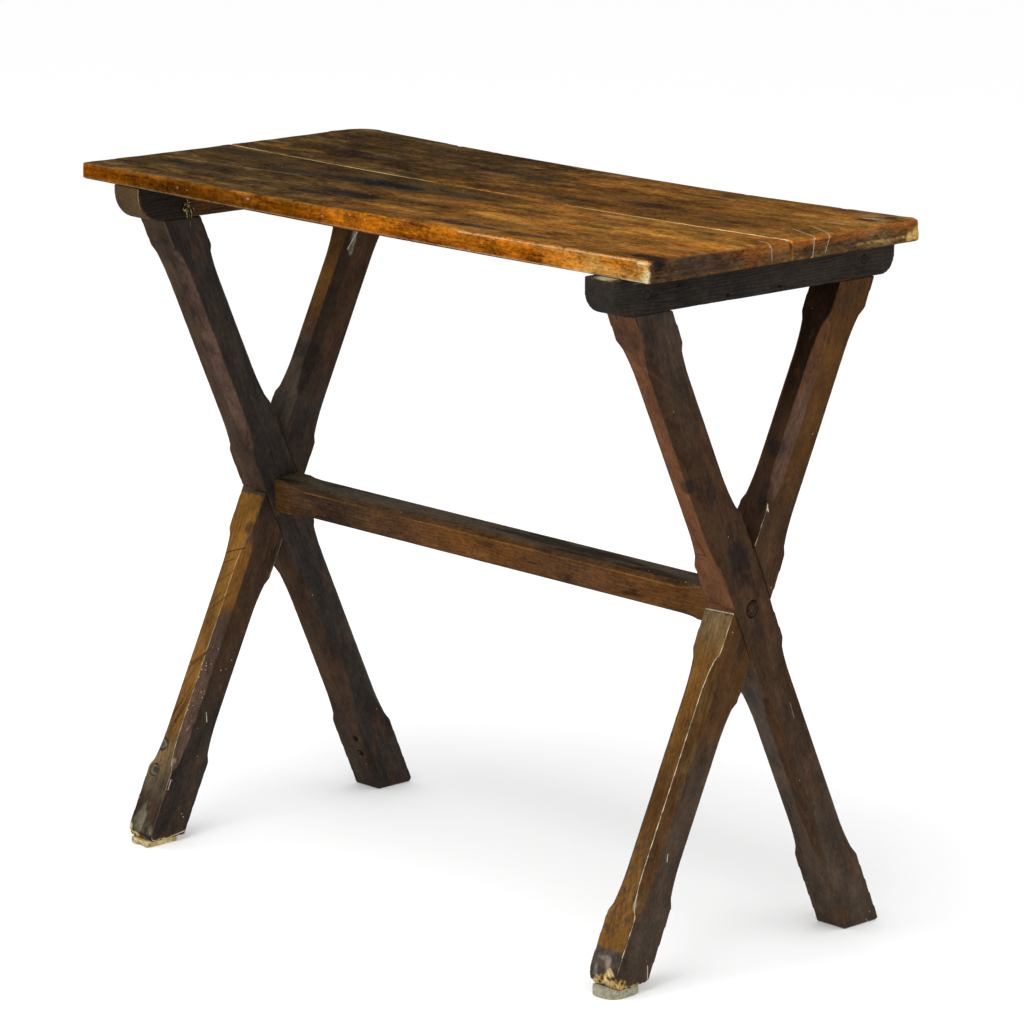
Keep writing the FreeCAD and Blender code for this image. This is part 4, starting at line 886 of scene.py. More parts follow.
class SAWBUCK_OT_battens(bpy.types.Operator):
    """Wear the battens under the ends of the top"""

    bl_idname = "sawbuck.battens"
    bl_label = "Battens"

    def execute(self, context):
        sizes = context.scene.sawbuck_wear
        for node in ("right_batten", "left_batten"):
            skin = Skin(node, sizes.leg_pitch, bar_axes(node, (0, 1, 0)))
            rub(skin, sizes, chips=1.3, waves=1.3)
            y = skin.start[:, 1] / MM
            right = node == "right_batten"
            coat = Coat(skin, "batten")
            mottle(skin, coat, "grime_and_shade", "end_grey" if right else "umber", 0.6)
            nose = skin.facing(0, -1, 0, 0.1, 0.5)
            if right:
                coat.wash("soot", 0.5 * ramp(-60, 0, y) * skin.facing(1, 0, 0))
            else:
                coat.wash("pitch", 0.5 * skin.facing(1, 0, 0))
                coat.wash("walnut", 0.85 * ramp(-140, -112, y) * skin.facing(1, 0, 0))
                coat.wash("umber", 0.8 * nose)
                coat.wash("top_brown", 0.7 * nose * ramp(0, 0.4, skin.cloud(30, 14, 89)))
                coat.wash("khaki", 0.3 * nose)
            age_and_shade(skin, coat, "tobacco", amount=0.8)
            nicks = skin.spots(
                ((359, -51, 666.6, 2.5, 1.6, 1.0), (359, 22.8, 666.7, 2.2, 1.6, 1.0),
                 (359, -90, 661, 4, 2, 0.9), (359, -165, 678.7, 2.2, 2.2, 1.0),
                 (359, -120, 684, 2, 1.6, 0.8)), 51, 0.3)
            skin.push(-0.9 * MM * nicks)
            coat.wash("grime_and_shade", nicks)
            dusty = skin.spots(((345, -198, 697, 14, 12, 0.9),), 53) * skin.facing(0, 0, 1)
            coat.wash("lichen", dusty, 1.0)
            skin.scratch((
                (358.9, -180, 692, 358.9, -60, 690, 0.15), (358.9, -150, 671, 358.9, -118, 669, -0.7),
                (358.9, -60, 668, 358.9, -30, 664, -0.6), (358.9, 10, 668, 358.9, 40, 664, -0.6),
                (358.9, 60, 686, 358.9, 120, 687, -0.4), (358.9, -30, 682, 358.9, 30, 684, -0.4),
                (-308.5, -198, 696, -308.5, -198, 684, 0.3), (-308.5, -198, 684, -308.5, -193, 670, 0.2),
                (-308.5, -193, 670, -308.5, -180, 661, 0.1),
            ))
            wood = old_wood(
                node.replace("_", " ").capitalize() + ", oiled wood black with dirt",
                ring=2.4, fibres=0.3, flecks=0.6, clouds=0.4, rings=0.16, gloss=0.5,
            )
            skin.object("worn_" + node, wood, "batten_wood", coat)
        return {"FINISHED"}


# Each leg: its slot, its lean, then the tones of its sides and of its front from the floor up.
LEGS = {
    "right_front_leg": (
        "right_leg_wood", 0.456,
        ((0, "slate"), (200, "slate"), (260, "walnut"), (300, "walnut"), (430, "umber"),
         (520, "top_brown"), (600, "walnut"), (660, "walnut")),
        ((0, "ash"), (44, "ash"), (46, "honey"), (100, "honey"), (180, "top_brown"), (240, "honey"),
         (270, "honey"), (310, "honey"), (340, "faded"), (352, "faded"), (354, "umber"), (500, "umber"),
         # Towards its head the right front leg's front turns to pitch: painted shadow of the top.
         (580, "pitch"), (640, "pitch")),
    ),
    "right_rear_leg": (
        "right_leg_wood", -0.507,
        ((0, "slate"), (100, "slate"), (280, "umber"), (420, "umber"), (520, "umber"),
         (660, "slate")),
        ((0, "slate"), (120, "slate"), (260, "ash"), (380, "chestnut"), (500, "chestnut"),
         (600, "chestnut"), (660, "tobacco")),
    ),
    "left_front_leg": (
        "left_leg_wood", 0.461,
        ((0, "soot"), (100, "soot"), (200, "umber"), (290, "umber"), (430, "soot"),
         (520, "umber")),
        ((0, "soot"), (40, "end_grey"), (60, "olive"), (85, "faded"), (120, "honey"),
         (180, "honey"), (240, "honey"), (340, "amber"), (351, "amber"), (354, "slate"), (430, "ash"),
         (500, "ash"), (530, "tobacco"), (560, "honey"), (590, "top_gold"), (625, "top_dark")),
    ),
    "left_rear_leg": (
        "left_leg_wood", -0.484,
        ((0, "batten"), (120, "soot"), (660, "soot")),
        ((0, "soot"), (100, "end_grey"), (220, "umber"), (430, "end_grey"), (660, "end_grey")),
    ),
}
SAW_MARKS = (
    (-334, -74, 234, -313, -65, 254, -0.8), (-334, -71, 241, -326, -66, 252, -0.7),
    (-335, -101, 176, -308, -89, 202, -0.8), (-333, -98, 182, -314, -90, 198, -0.6),
    (-341, -130, 113, -328, -115, 145, -0.8), (-332, -130, 113, -322, -113, 149, -0.8),
    (-327, -125, 123, -317, -111, 153, -0.7), (-326, -118, 139, -316, -106, 164, -0.6),
    (-340, -126, 120, -322, -108, 160, -0.6), (-336, -110, 158, -318, -96, 190, -0.5),
    (-336, -47, 292, -311, -43, 301, -0.9), (-338, -52, 280, -322, -49, 288, -0.7),
    (-334, -60, 262, -318, -55, 276, -0.5),
)
HAIRS = {
    "left_front_leg": SAW_MARKS + (
        (-308.5, -148.8, 67, -308.5, -151.5, 60, 0.9), (-308.5, -182, 13, -308.5, -172, 6, 0.7),
        (-308.5, -172, 6, -308.5, -155, 5.5, 0.8), (-308.5, -155, 5.5, -308.5, -130, 9, 0.8),
        (-308.5, 10.5, 301, -308.5, -10.6, 267, 0.3), (-308.5, 6, 300, -308.5, -2, 280, 0.25),
        (-308.5, -99, 131, -308.5, -98.5, 124, 0.8), (-311, -124, 118, -309, -120, 124, 0.6),
        # A pale hair line down the head's chamfer: the bright rim of a painted highlight.
        (-309.2, 109.8, 619, -312.2, 101.6, 604.4, 0.9),
    ),
    "right_front_leg": (
        (358.9, -26.3, 355, 358.9, 0.8, 301, -0.95), (358.9, -0.5, 415, 358.9, 14, 386, -0.95),
        (358.9, 14, 386, 358.9, 25.5, 359, -0.8), (357, 15.5, 466, 358, 17.6, 449.5, 1.0),
        (358.9, -135.2, 24, 358.9, -134.9, 14, 0.7), (358.9, -111.4, 130, 358.9, -111.8, 126, 0.7),
        (330, -120, 150, 345, -112, 172, -0.3), (333, -140, 108, 352, -130, 128, -0.35),
        (330, -146, 90, 350, -139, 105, -0.35), (328, -170, 40, 352, -166, 52, -0.3),
        (322, -28, 353, 358, -27, 354, 0.6),
    ),
    "right_rear_leg": (
        (322, -52, 412, 343, -52, 413, -0.7), (343, -52, 413, 338, -61, 429, -0.7),
        (326, -50, 409, 336, -50, 408, -0.6), (358.9, -26.3, 355, 358.9, 0.8, 301, -0.6),
        (358.9, -0.5, 415, 358.9, 14, 386, -0.7), (334, -177, 659, 334, -176.5, 656, -1.0),
        (358.9, 60, 250, 358.9, 66, 236, 0.2), (340, -120, 560, 342, -112, 530, -0.4),
    ),
    "left_rear_leg": (
        (-320, -100, 520, -316, -90, 500, -0.3),
    ),
}
LEG_INK = {
    "right_rear_leg": (
        (359, -24, 408, 24, 13, 0.7), (359, -14, 388, 12, 8, 0.6), (359, -65, 481, 20, 7, 0.55),
        (359, 9, 330, 16, 7, 0.45), (348, -90, 485, 9, 8, 0.8), (340, -160, 640, 20, 20, 0.45),
        (359, -150, 640, 30, 20, 0.45), (340, 20, 250, 40, 10, 0.3), (359, -38, 436, 10, 6, 0.5),
    ),
    "right_front_leg": (
        (344, 41, 505, 10, 10, 0.6), (352, 20, 462, 14, 8, 0.5), (335, -176, 22, 8, 14, 0.5),
        (350, -170, 38, 6, 10, 0.4), (356, -178, 25, 8, 6, 0.5), (336, -90, 214, 20, 8, 0.25),
        (359, -12, 325, 20, 6, 0.4),
    ),
    "left_front_leg": (
        (-315, -34, 321, 8, 6, 0.7), (-327, 49, 501, 10, 20, 0.5), (-300, 47, 497, 8, 8, 0.6),
        (-325, 22, 443, 16, 12, 0.25), (-306, -118, 120, 12, 4, 0.5), (-308, -45, 296, 7, 6, 0.5),
        (-336, -163, 40, 14, 10, 0.4), (-330, -128, 110, 14, 8, 0.3),
    ),
    "left_rear_leg": (
        (-313, -141, 608, 18, 9, 0.5), (-313, -129, 582, 10, 9, 0.35), (-313, -114, 553, 18, 9, 0.5),
        (-313, -98, 519, 12, 9, 0.5), (-308, -60, 600, 80, 16, 0.35), (-308, 60, 240, 80, 10, 0.4),
    ),
}
LEG_DUST_AND_HIGHLIGHTS = {
    "right_rear_leg": (),
    "right_front_leg": (
        (353, -150, 88, 6, 2.4, 0.4), (330, -174, 26, 8, 4, 0.3), (343, -172, 32, 5, 4, 0.3),
        (336, -171, 36, 3, 7, 0.25),
    ),
    "left_front_leg": (
        # The first two patches lie on the head's chamfer: dust and a painted highlight.
        (-310, 106.5, 612, 10, 3, 0.45), (-310, 102.5, 602, 6, 3.2, 0.35),
        (-300, 46, 493, 4, 6, 0.4), (-311, -142, 87, 6, 3, 0.8),
        (-309, 8, 300, 8, 1.6, 0.2), (-309, 20, 290, 6, 1.4, 0.2),
    ),
    "left_rear_leg": (),
}
LEG_BONE = {
    "right_rear_leg": (),
    "right_front_leg": (
        (333, -180, 15, 6, 4, 0.8), (347, -177, 24, 7, 3.5, 0.7), (340, -178, 12, 4, 6, 0.6),
    ),
    "left_front_leg": (
        (-344, -177, 17, 6, 5, 1.0), (-336, -178, 10, 3, 8, 0.9), (-320, -178, 6, 2.5, 12, 0.8),
    ),
    "left_rear_leg": (),
}


def toe_height(node, x, y):
    """How high wood is torn off a toe, in mm, from the floor up."""
    if node == "right_front_leg":
        front = np.interp(x, (322, 332, 342, 348, 353, 359), (13, 17, 22, 30, 24, 17))
        return np.where(y < -165, front, 10.5)
    if node == "left_front_leg":
        front = np.interp(x, (-345, -339, -330, -318, -309), (15, 14, 9, 7, 6))
        return np.where(y < -160, front, 6.0)
    return np.full(len(x), -3.0)


class SAWBUCK_OT_legs(bpy.types.Operator):
    """Wear, stain and tear the four crossed legs"""

    bl_idname = "sawbuck.legs"
    bl_label = "Legs"

    def execute(self, context):
        sizes = context.scene.sawbuck_wear
        for node, (slot, lean, side_tones, front_tones) in LEGS.items():
            along = np.array((0, lean, 1.0)) / math.hypot(lean, 1)
            skin = Skin(node, sizes.leg_pitch, bar_axes(node, along))
            rub(skin, sizes, chips=0.4)
            x, y, z = (skin.start / MM).T
            before = np.array((0, -1, lean)) / math.hypot(lean, 1)
            lifted = z + 3 * skin.cloud(20, 5, 39)
            coat = Coat(skin, *side_tones, along=lifted)
            front = skin.facing(*before, 0.82, 0.95)
            coat.wash(Coat(skin, *front_tones, along=lifted), front)
            mottle(skin, coat, "soot", "chestnut", 0.45 - 0.15 * front)
            normal = skin.start_normals @ skin.turn.T
            chamfer = ramp(0.55, 0.9, 2 * (normal[:, 0] * (normal @ before)))
            if node == "right_front_leg":
                coat.wash("tobacco", 0.7 * chamfer * ramp(450, 465, z))
                coat.wash("rosy", 0.8 * chamfer * ramp(450, 465, z) * ramp(600, 540, z))
                coat.wash("chestnut", 0.7 * chamfer * ramp(520, 560, z)
                          * ramp(0.0, 0.35, skin.cloud(9, 6, 93)))
                skin.push(0.4 * MM * chamfer * ramp(450, 465, z) * skin.cloud(9, 6, 93))
                coat.wash("walnut", 0.8 * chamfer * ramp(380, 330, z))
                coat.wash("khaki", 0.35 * chamfer * ramp(380, 330, z)
                          * ramp(-0.2, 0.3, skin.cloud(30, 6, 127)))
                coat.wash("slate", 0.7 * front * ramp(-0.1, 0.25, skin.cloud(5, 3, 123))
                          * ramp(46, 60, z) * ramp(190, 120, z))
                coat.wash("amber", 0.6 * front * ramp(0.1, 0.3, skin.cloud(6, 3, 125))
                          * ramp(46, 60, z) * ramp(110, 90, z))
                coat.wash("tobacco", 0.9 * ramp(353, 355, z) * ramp(364, 360, z) * (y < -14))
            if node == "right_rear_leg":
                coat.wash("umber", 0.8 * chamfer)
                coat.wash("walnut", 0.5 * chamfer * ramp(0, 0.5, skin.cloud(50, 20, 87)))
            if node == "left_front_leg":
                coat.wash("slate", 0.9 * chamfer * ramp(360, 330, z))
                coat.wash("rosy", 0.7 * chamfer * ramp(230, 200, z))
                coat.wash("top_gold", 0.85 * chamfer * ramp(225, 245, z) * ramp(312, 300, z))
                coat.wash("soot", 0.6 * chamfer * ramp(400, 430, z))
            if node == "left_rear_leg":
                coat.wash("rosy", 0.85 * chamfer * ramp(380, 420, z))
                coat.wash("umber", 0.5 * chamfer * ramp(300, 260, z))
            coat.wash("ink", 0.85 * skin.spots(LEG_INK[node], 33, 0.9))
            age_and_shade(skin, coat, "honey", amount=0.5)
            if node == "left_front_leg":
                wedge = ramp(48, 36, z + 1.2 * np.abs(x + 330))
                wedge *= ramp(-0.6, 0.1, skin.cloud(14, 4, 113))
                coat.wash("lichen", 0.45 * wedge * front, 1.0)
            # Dust, and on the left front leg's head a painted highlight.
            coat.wash("dust", 0.85 * skin.spots(LEG_DUST_AND_HIGHLIGHTS[node], 35, 0.8), 1.0)
            skin.scratch(HAIRS[node])
            # Pale lines along the front arrises: rubbed wood and painted highlight.
            arris_wear_and_highlight = ramp(-0.9, -0.3, skin.cloud(60, 60, 57)) * (x > x.min() + 20)
            if node == "right_front_leg":
                arris_wear_and_highlight *= (0.9 * ramp(352, 344, z) * ramp(24, 40, z)
                          + 0.7 * ramp(410, 416, z) * ramp(458, 450, z))
            elif node == "left_front_leg":
                arris_wear_and_highlight *= 0.5 * ramp(310, 290, z) * ramp(50, 62, z)
            else:
                arris_wear_and_highlight *= 0
            skin.rule_arris(before, arris_wear_and_highlight)
            skin.specks = 0.003 + 0.025 * ramp(60, 20, z)
            if node == "left_front_leg":
                skin.specks += 0.6 * chamfer * ramp(205, 170, z) * ramp(100, 130, z)
                skin.specks += 0.04 * ramp(260, 120, z)
            height = toe_height(node, x, y) + 3 * skin.cloud(8, 6, 67) + 2 * skin.cloud(3, 3, 69)
            tear(skin, coat, ramp(1.0, -1.0, z - height) * ramp(-0.5, 0, -normal[:, 2] + 0.9))
            coat.wash("bone", skin.spots(LEG_BONE[node], 121, 0.6), 1.0)
            wood = old_wood(
                node.replace("_", " ").capitalize() + ", oiled and handled wood",
                ring=2.8, fibres=0.16, flecks=0.5, clouds=0.7, rings=0.08, pores=0.25, gloss=0.46,
                pith=(0.05, 0.04) if "front" in node else (-0.06, 0.03),
            )
            skin.object("worn_" + node, wood, slot, coat)
        return {"FINISHED"}


class SAWBUCK_OT_stretcher(bpy.types.Operator):
    """Wear the stretcher between the crossings"""

    bl_idname = "sawbuck.stretcher"
    bl_label = "Stretcher"

    def execute(self, context):
        sizes = context.scene.sawbuck_wear
        skin = Skin("stretcher", sizes.leg_pitch, bar_axes("stretcher", (1, 0, 0)))
        rub(skin, sizes)
        x, y, z = (skin.start / MM).T
        coat = Coat(skin, (-340, "chestnut"), (-310, "walnut"), (-260, "umber"), (-180, "umber"),
                    (-110, "stretcher"), (-40, "stretcher_gold"), (40, "stretcher_gold"),
                    (120, "stretcher"), (250, "stretcher_gold"),
                    (340, "walnut"), along=x)
        coat.wash("pitch", 0.6 * ramp(0.1, 0.5, skin.cloud(30, 7, 115)))
        mottle(skin, coat, "walnut", "honey", 0.5)
        over = skin.facing(0, 0, 1, 0.5, 0.8)
        coat.wash("olive", 0.8 * over)
        coat.wash("pitch", 0.85 * over * ramp(-0.2, 0.3, skin.cloud(60, 9, 49) + 0.0008 * x))
        upward = np.degrees(np.arccos(-(skin.start_normals @ skin.turn.T)[:, 1].clip(-1, 1)))
        coat.wash("top_honey", 0.7 * ramp(10, 18, upward) * ramp(38, 26, upward) * (z > 356)
                  * ramp(-0.5, 0.1, skin.cloud(50, 50, 117)))
        age_and_shade(skin, coat, "edge_pale", amount=0.7)
        dusty = skin.spots(
            ((259, -8, 374, 3, 1.6, 0.8), (270, -27, 372, 3, 1.6, 0.7),
             (-335, -12, 372, 6, 4, 0.2)), 35, 0.8)
        coat.wash("dust", dusty * 0.8, 1.0)
        away = np.hypot(y + 1.2, z - 356.3)
        tenon = ramp(345, 350, np.abs(x))
        coat.wash("umber", tenon)
        coat.wash("pitch", 0.8 * tenon * ramp(3.0, 4.4, away + 1.2 * skin.cloud(4, 4, 91)))
        coat.wash("ash", 0.5 * tenon * ramp(0.0, 0.4, skin.cloud(5, 1.6, 95)) * ramp(-2, 2, y - z + 357))
        nicks = ((-60, 352), (90, 346))
        skin.scratch((x0, -19, z0, x0 + 24, -19, z0 + 3, 0.3) for x0, z0 in nicks)
        skin.specks[:] = 0.012
        wood = old_wood(
            "Stretcher, oiled and handled wood", ring=2.8, fibres=0.3, flecks=0.7, clouds=0.45,
            gloss=0.42, pith=(0.03, 0.05),
        )
        skin.object("worn_stretcher", wood, "stretcher_wood", coat)
        return {"FINISHED"}


def pare(skin, onto, axis):
    """Cuts the faces of pins back to the worn face and to the left chamfer round them."""
    axis = np.array(axis, float) / np.linalg.norm(axis)
    places, normals = np.empty((2, len(onto.data.vertices) * 3))
    onto.data.vertices.foreach_get("co", places)
    onto.data.vertices.foreach_get("normal", normals)
    places, normals = places.reshape(-1, 3), normals.reshape(-1, 3)
    lean = normals @ axis
    flat = places[lean > 0.9]
    cut = (np.abs(lean - 0.7) < 0.12) & (normals[:, 0] < -0.5)
    world = skin.world()
    for i in np.flatnonzero(skin.world_normals() @ axis > 0.9):
        off = flat - world[i]
        near = (off * off).sum(1) < (9 * MM) ** 2
        if near.any():
            world[i] += axis * (off[near] @ axis).mean()
    for i, place in enumerate(world):
        off = places[cut] - place
        near = (off * off).sum(1) < (10 * MM) ** 2
        if near.any():
            slope = normals[cut][near].mean(0)
            slope /= np.linalg.norm(slope)
            world[i] += slope * min((off[near] @ slope).mean(), 0)
    skin.local = world @ skin.turn


def ringed(skin, coat, axis, rim, heart):
    """Darkens the rims of pins and greys their hearts, by how far each point is from its own axis."""
    here, there = skin.ends
    group = np.arange(len(skin.local))
    for _ in range(90):
        before = group.copy()
        np.minimum.at(group, here, group[there])
        group = group[group]
        if (group == before).all():
            break
    axis = np.array(axis, float) / np.linalg.norm(axis)
    for name in np.unique(group):
        mine = group == name
        place = skin.local[mine]
        out = (place - place.mean(0)) @ axis
        face = out > 0.8 * out.max()
        off = place - place[face].mean(0)
        away = np.linalg.norm(off - (off @ axis)[:, None] * axis, axis=1)
        far = away / away[face].max()
        share = np.zeros(len(skin.local))
        share[mine] = ramp(0.74, 0.9, far)
        coat.wash(rim, share)
        share[mine] = 0.8 * ramp(0.86, 0.7, far)
        coat.wash(heart, share)
        share[mine] = 0.85 * ramp(0.5, 0.34, far)
        coat.wash(rim, share)
    return coat


class SAWBUCK_OT_pins(bpy.types.Operator):
    """Finish the pegs, dowels, sprigs and plugs"""

    bl_idname = "sawbuck.pins"
    bl_label = "Pegs, dowels, sprigs and plugs"

    def execute(self, context):
        sizes = context.scene.sawbuck_wear
        wood = old_wood("Peg wood, cleft and shaved", ring=1.6)
        for node in ("draw_pegs", "right_top_dowels", "left_top_dowels"):
            skin = Skin(node, sizes.small_pitch)
            skin.push(0.08 * MM * skin.cloud(4, 4, 5))
            coat = Coat(skin, "batten")
            if node == "draw_pegs":
                ringed(skin, coat, (1, 0, 0), "pitch", "soot")
                coat.wash("batten", skin.start[:, 1] < 0)
            skin.object("cleft_" + node, wood, "peg_wood", coat)
        iron = rusted_iron("Iron sprig, rusted")
        skin = Skin("tenon_sprigs", 0.4 * MM)
        skin.push(0.1 * MM * skin.cloud(2, 2, 5))
        skin.object("rusted_tenon_sprigs", iron, "sprig_iron", Coat(skin, "grime_and_shade"))
        wood = old_wood("Plug wood, pared flush", ring=1.4, flecks=0.6)
        for foot in ("left_front", "left_rear"):
            lean = LEGS[foot + "_leg"][1]
            skin = Skin(foot + "_foot_plugs", sizes.small_pitch)
            coat = ringed(skin, Coat(skin, "slate"), (0, -1, lean), "slate", "plug")
            pare(skin, bpy.data.objects["worn_" + foot + "_leg"], (0, -1, lean))
            skin.push(0.06 * MM * skin.cloud(4, 4, 5))
            skin.object("pared_" + foot + "_foot_plugs", wood, "plug_wood", coat)
        return {"FINISHED"}


# Splinters of the broken peg: from the rim at y, z out to x, y, z, then down to a tip, in mm.
SPLINTERS = (
    ((-308, -131, 671), (-304, -130.5, 668), (-305.5, -129.5, 652), 2.4),
    ((-308, -132.5, 670), (-303, -132, 666), (-304.5, -131.5, 657), 2.0),
    ((-308, -130, 672), (-302.5, -129, 669), (-305, -128.2, 660), 1.8),
    ((-308, -134.5, 669.5), (-304, -134.5, 667), (-305.5, -133.8, 660.5), 1.6),
    ((-308, -129, 674), (-301.5, -127.5, 672.5), (-302.5, -126.5, 668), 1.4),
    ((-308, -136, 673), (-302.5, -137, 676.5), (-304.5, -139.5, 679), 1.8),
    ((-308, -134.5, 676), (-301.5, -134, 679), (-304, -136.5, 681.5), 1.6),
    ((-308, -137, 671), (-303.5, -138.8, 672), (-306, -140.5, 675), 1.4),
    ((-308, -132, 676.5), (-302.5, -131, 678), (-304, -129.6, 677.5), 1.4),
)


class SAWBUCK_OT_proud_peg(bpy.types.Operator):
    """Tear the peg that was never cut back"""

    bl_idname = "sawbuck.proud_peg"
    bl_label = "Broken peg"

    def execute(self, context):
        wood = old_wood("Torn peg wood", ring=1.6, flecks=0.5)
        skin = Skin("proud_peg", 0.5 * MM)
        face = LEFT_BATTEN_FACE
        proud = skin.local[:, 0] > face
        skin.local[proud, 0] = face + (skin.local[proud, 0] - face) * (
            0.2 + 0.3 * ramp(-0.5, 0.5, skin.cloud(30, 1.6, 5)[proud])
        )
        skin.push(0.3 * MM * skin.cloud(8, 1.5, 5))
        coat = Coat(skin, "straw").wash("pitch", ramp(-0.4, 0.2, skin.cloud(40, 2, 7)))
        skin.object("torn_proud_peg", wood, "pale_torn_wood", coat)
        points, faces = [], []
        for root, bend, tip, wide in SPLINTERS:
            stations = [np.array(p, float) for p in (root, bend, tip)]
            for k in range(9):
                t = k / 8
                a, b, c = stations
                middle = (1 - t) ** 2 * a + 2 * t * (1 - t) * b + t * t * c
                way = 2 * (1 - t) * (b - a) + 2 * t * (c - b)
                way /= np.linalg.norm(way)
                across = np.cross(way, (1.0, 0.2, 0.3))
                across /= np.linalg.norm(across)
                thin = np.cross(way, across)
                half = wide / 2 * (1 - 0.92 * t**1.6) * (0.8 + 0.4 * ((k * 7 + len(points)) % 3) / 2)
                first = len(points)
                points += [middle + across * half, middle + thin * half * 0.45,
                           middle - across * half, middle - thin * half * 0.3]
                if k:
                    for n in range(4):
                        m = (n + 1) % 4
                        faces.append((first - 4 + n, first - 4 + m, first + m, first + n))
                else:
                    faces.append(tuple(range(first + 3, first - 1, -1)))
            faces.append(tuple(range(first, first + 4)))
        mesh = bpy.data.meshes.new("splinters")
        mesh.from_pydata([p * MM for p in points], [], faces)
        place = np.array(points) * MM
        bright = 0.5 + 0.5 * np.sin(place @ (2100.0, 900.0, 260.0))
        tones = tone("pitch") + bright[:, None] * (tone("bone") - tone("pitch"))
        count = len(place)
        marks = np.tile((NO_LINE_NEAR, 0.0, 0.0), (count, 1))
        lay_fields(mesh, place[:, (2, 1, 0)], marks, np.zeros((count, 3)), tones, np.ones(count))
        dress("hanging_splinters", mesh, wood, "pale_torn_wood")
        return {"FINISHED"}


class SAWBUCK_OT_feet(bpy.types.Operator):
    """Lay the felt pad and the packing slip under the front feet"""

    bl_idname = "sawbuck.feet"
    bl_label = "Felt pad and slip"

    def execute(self, context):
        sizes = context.scene.sawbuck_wear
        skin = Skin("foot_pad", sizes.small_pitch)
        middle, half = np.array(PAD_MIDDLE) * MM, np.array(PAD_HALF) * MM
        off = (skin.local[:, :2] - middle) / half
        round_off = (np.abs(off) ** 2.6).sum(1) ** (1 / 2.6)
        skin.local[:, :2] = middle + off * half / round_off.clip(1)[:, None]
        skin.relax(np.ones(len(skin.local)), 8)
        skin.push(0.4 * MM * skin.cloud(4, 4, 5))
        felt = felt_cloth("Pressed felt, crushed and dirty", FELT_LIGHT, FELT_DEEP)
        skin.object("felt_foot_pad", felt, "felt", Coat(skin, "felt"))
        skin = Skin("packing_slip", sizes.small_pitch)
        x, y, _ = (skin.start / MM).T
        (left, right), (front, back) = SLIP_ACROSS, SLIP_ALONG
        rim = 1 - ramp(0.5, 4.5, np.minimum.reduce((x - left, right - x, y - front, back - y)))
        inward = np.stack((SLIP_MIDDLE[0] - x, SLIP_MIDDLE[1] - y, 0 * x), 1) * MM / 20
        skin.local += inward * (rim * (1.5 + 4 * skin.cloud(7, 7, 15)).clip(0, 6))[:, None]
        skin.relax(np.ones(len(skin.local)), 2)
        skin.push(0.4 * MM * skin.cloud(14, 2.5, 5))
        wood = old_wood("Split softwood slip", ring=1.8, flecks=0.5)
        coat = Coat(skin, "straw").wash("bone", 0.8 * ramp(-0.1, 0.3, skin.cloud(12, 3, 7)))
        coat.wash("khaki", 0.6 * ramp(0.15, 0.5, skin.cloud(9, 3, 9)))
        coat.wash("umber", 0.8 * ramp(-330, -342, x) * ramp(-0.2, 0.3, skin.cloud(6, 3, 11)))
        skin.object("split_packing_slip", wood, "pale_torn_wood", coat)
        return {"FINISHED"}


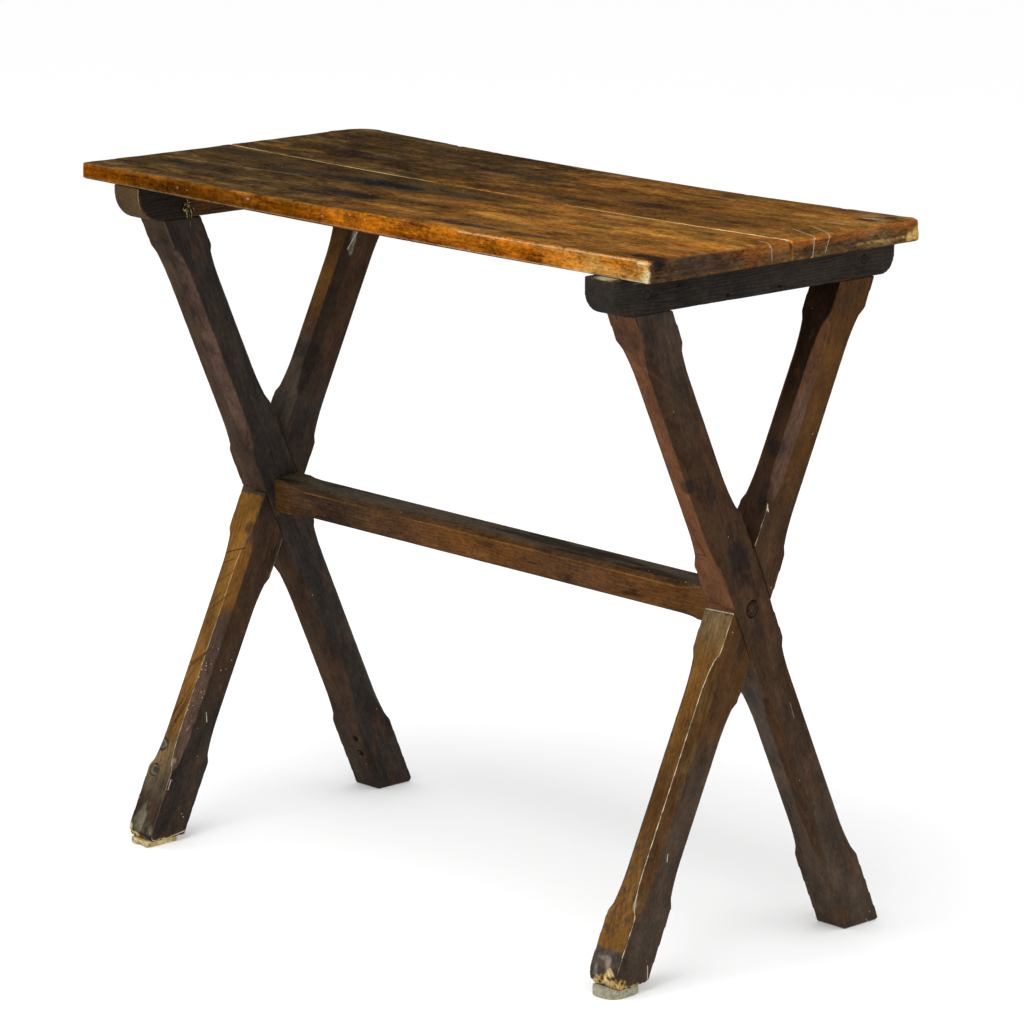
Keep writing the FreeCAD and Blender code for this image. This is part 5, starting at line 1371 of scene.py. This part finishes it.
class SAWBUCK_OT_stage(bpy.types.Operator):
    """Set up the white floor, the soft lights and the camera"""

    bl_idname = "sawbuck.stage"
    bl_label = "Stage"

    def execute(self, context):
        studio = context.scene.sawbuck_studio
        scene = context.scene
        scene.view_settings.view_transform = "Standard"
        world = bpy.data.worlds.new("White room")
        world.use_nodes = True
        scene.world = world
        room = world.node_tree.nodes["Background"]
        room.inputs["Color"].default_value = linear("#ffffff")
        room.inputs["Strength"].default_value = studio.sky

        mesh = bpy.data.meshes.new("paper_floor")
        half, low = PAPER_HALF, PAPER_LEVEL
        corners = [(-half, -half, low), (half, -half, low), (half, half, low), (-half, half, low)]
        mesh.from_pydata(corners, [], [(0, 1, 2, 3)])
        mesh.materials.append(backdrop_paper("Seamless white paper", "#f2f2f2", studio.floor_glow))
        floor = bpy.data.objects.new("paper_floor", mesh)
        scene.collection.objects.link(floor)

        key = bpy.data.lights.new("Soft key", "AREA")
        key.energy = studio.key_power
        key.shape = "DISK"
        key.size = LAMP_SIZE
        lamp = bpy.data.objects.new("Soft key", key)
        lamp.location = Vector(LAMP_PLACE)
        aim = Vector(LAMP_AIM) - lamp.location
        lamp.rotation_mode = "QUATERNION"
        lamp.rotation_quaternion = aim.to_track_quat("-Z", "Y")
        scene.collection.objects.link(lamp)

        turn, rise, roll = studio.camera_turn, studio.camera_rise, studio.camera_roll
        level = math.cos(rise)
        back = Vector((math.sin(turn) * level, -math.cos(turn) * level, math.sin(rise)))
        right = Vector((math.cos(turn), math.sin(turn), 0))
        up = back.cross(right)
        rolled = right * math.cos(roll) + up * math.sin(roll)
        upright = up * math.cos(roll) - right * math.sin(roll)
        camera = bpy.data.cameras.new("Camera")
        camera.lens = studio.lens
        camera.sensor_width = 36.0
        camera.clip_end = 60.0
        eye = bpy.data.objects.new("Camera", camera)
        eye.matrix_world = Matrix.Translation(studio.camera_place) @ Matrix(
            (rolled, upright, back)
        ).transposed().to_4x4()
        scene.collection.objects.link(eye)
        scene.camera = eye
        return {"FINISHED"}


OPERATORS = (
    SAWBUCK_OT_stage,
    SAWBUCK_OT_boards,
    SAWBUCK_OT_battens,
    SAWBUCK_OT_legs,
    SAWBUCK_OT_stretcher,
    SAWBUCK_OT_pins,
    SAWBUCK_OT_proud_peg,
    SAWBUCK_OT_feet,
)


class SAWBUCK_PT_table(bpy.types.Panel):
    """Lists the pieces of the table"""

    bl_idname = "SAWBUCK_PT_table"
    bl_label = "Sawbuck table"
    bl_space_type = "VIEW_3D"
    bl_region_type = "UI"
    bl_category = "Sawbuck table"

    def draw(self, context):
        layout = self.layout
        for group in (getattr(context.scene, key) for key in GROUPS):
            box = layout.box()
            for key in group.__annotations__:
                box.prop(group, key)
        for operator in OPERATORS:
            layout.operator(operator.bl_idname)


GROUPS = {
    "sawbuck_wear": WearSizes, "sawbuck_wood": WoodColours, "sawbuck_studio": StudioSetup
}


def register():
    """Registers the settings, the operators and the panel."""
    for key, group in GROUPS.items():
        bpy.utils.register_class(group)
        setattr(bpy.types.Scene, key, bpy.props.PointerProperty(type=group))
    for operator in OPERATORS:
        bpy.utils.register_class(operator)
    bpy.utils.register_class(SAWBUCK_PT_table)


def unregister():
    """Takes away all that register added."""
    bpy.utils.unregister_class(SAWBUCK_PT_table)
    for operator in reversed(OPERATORS):
        bpy.utils.unregister_class(operator)
    for key, group in GROUPS.items():
        delattr(bpy.types.Scene, key)
        bpy.utils.unregister_class(group)


def main():
    """Makes every piece."""
    register()
    for operator in OPERATORS:
        family, name = operator.bl_idname.split(".")
        getattr(getattr(bpy.ops, family), name)()


if __name__ == "__main__":
    main()
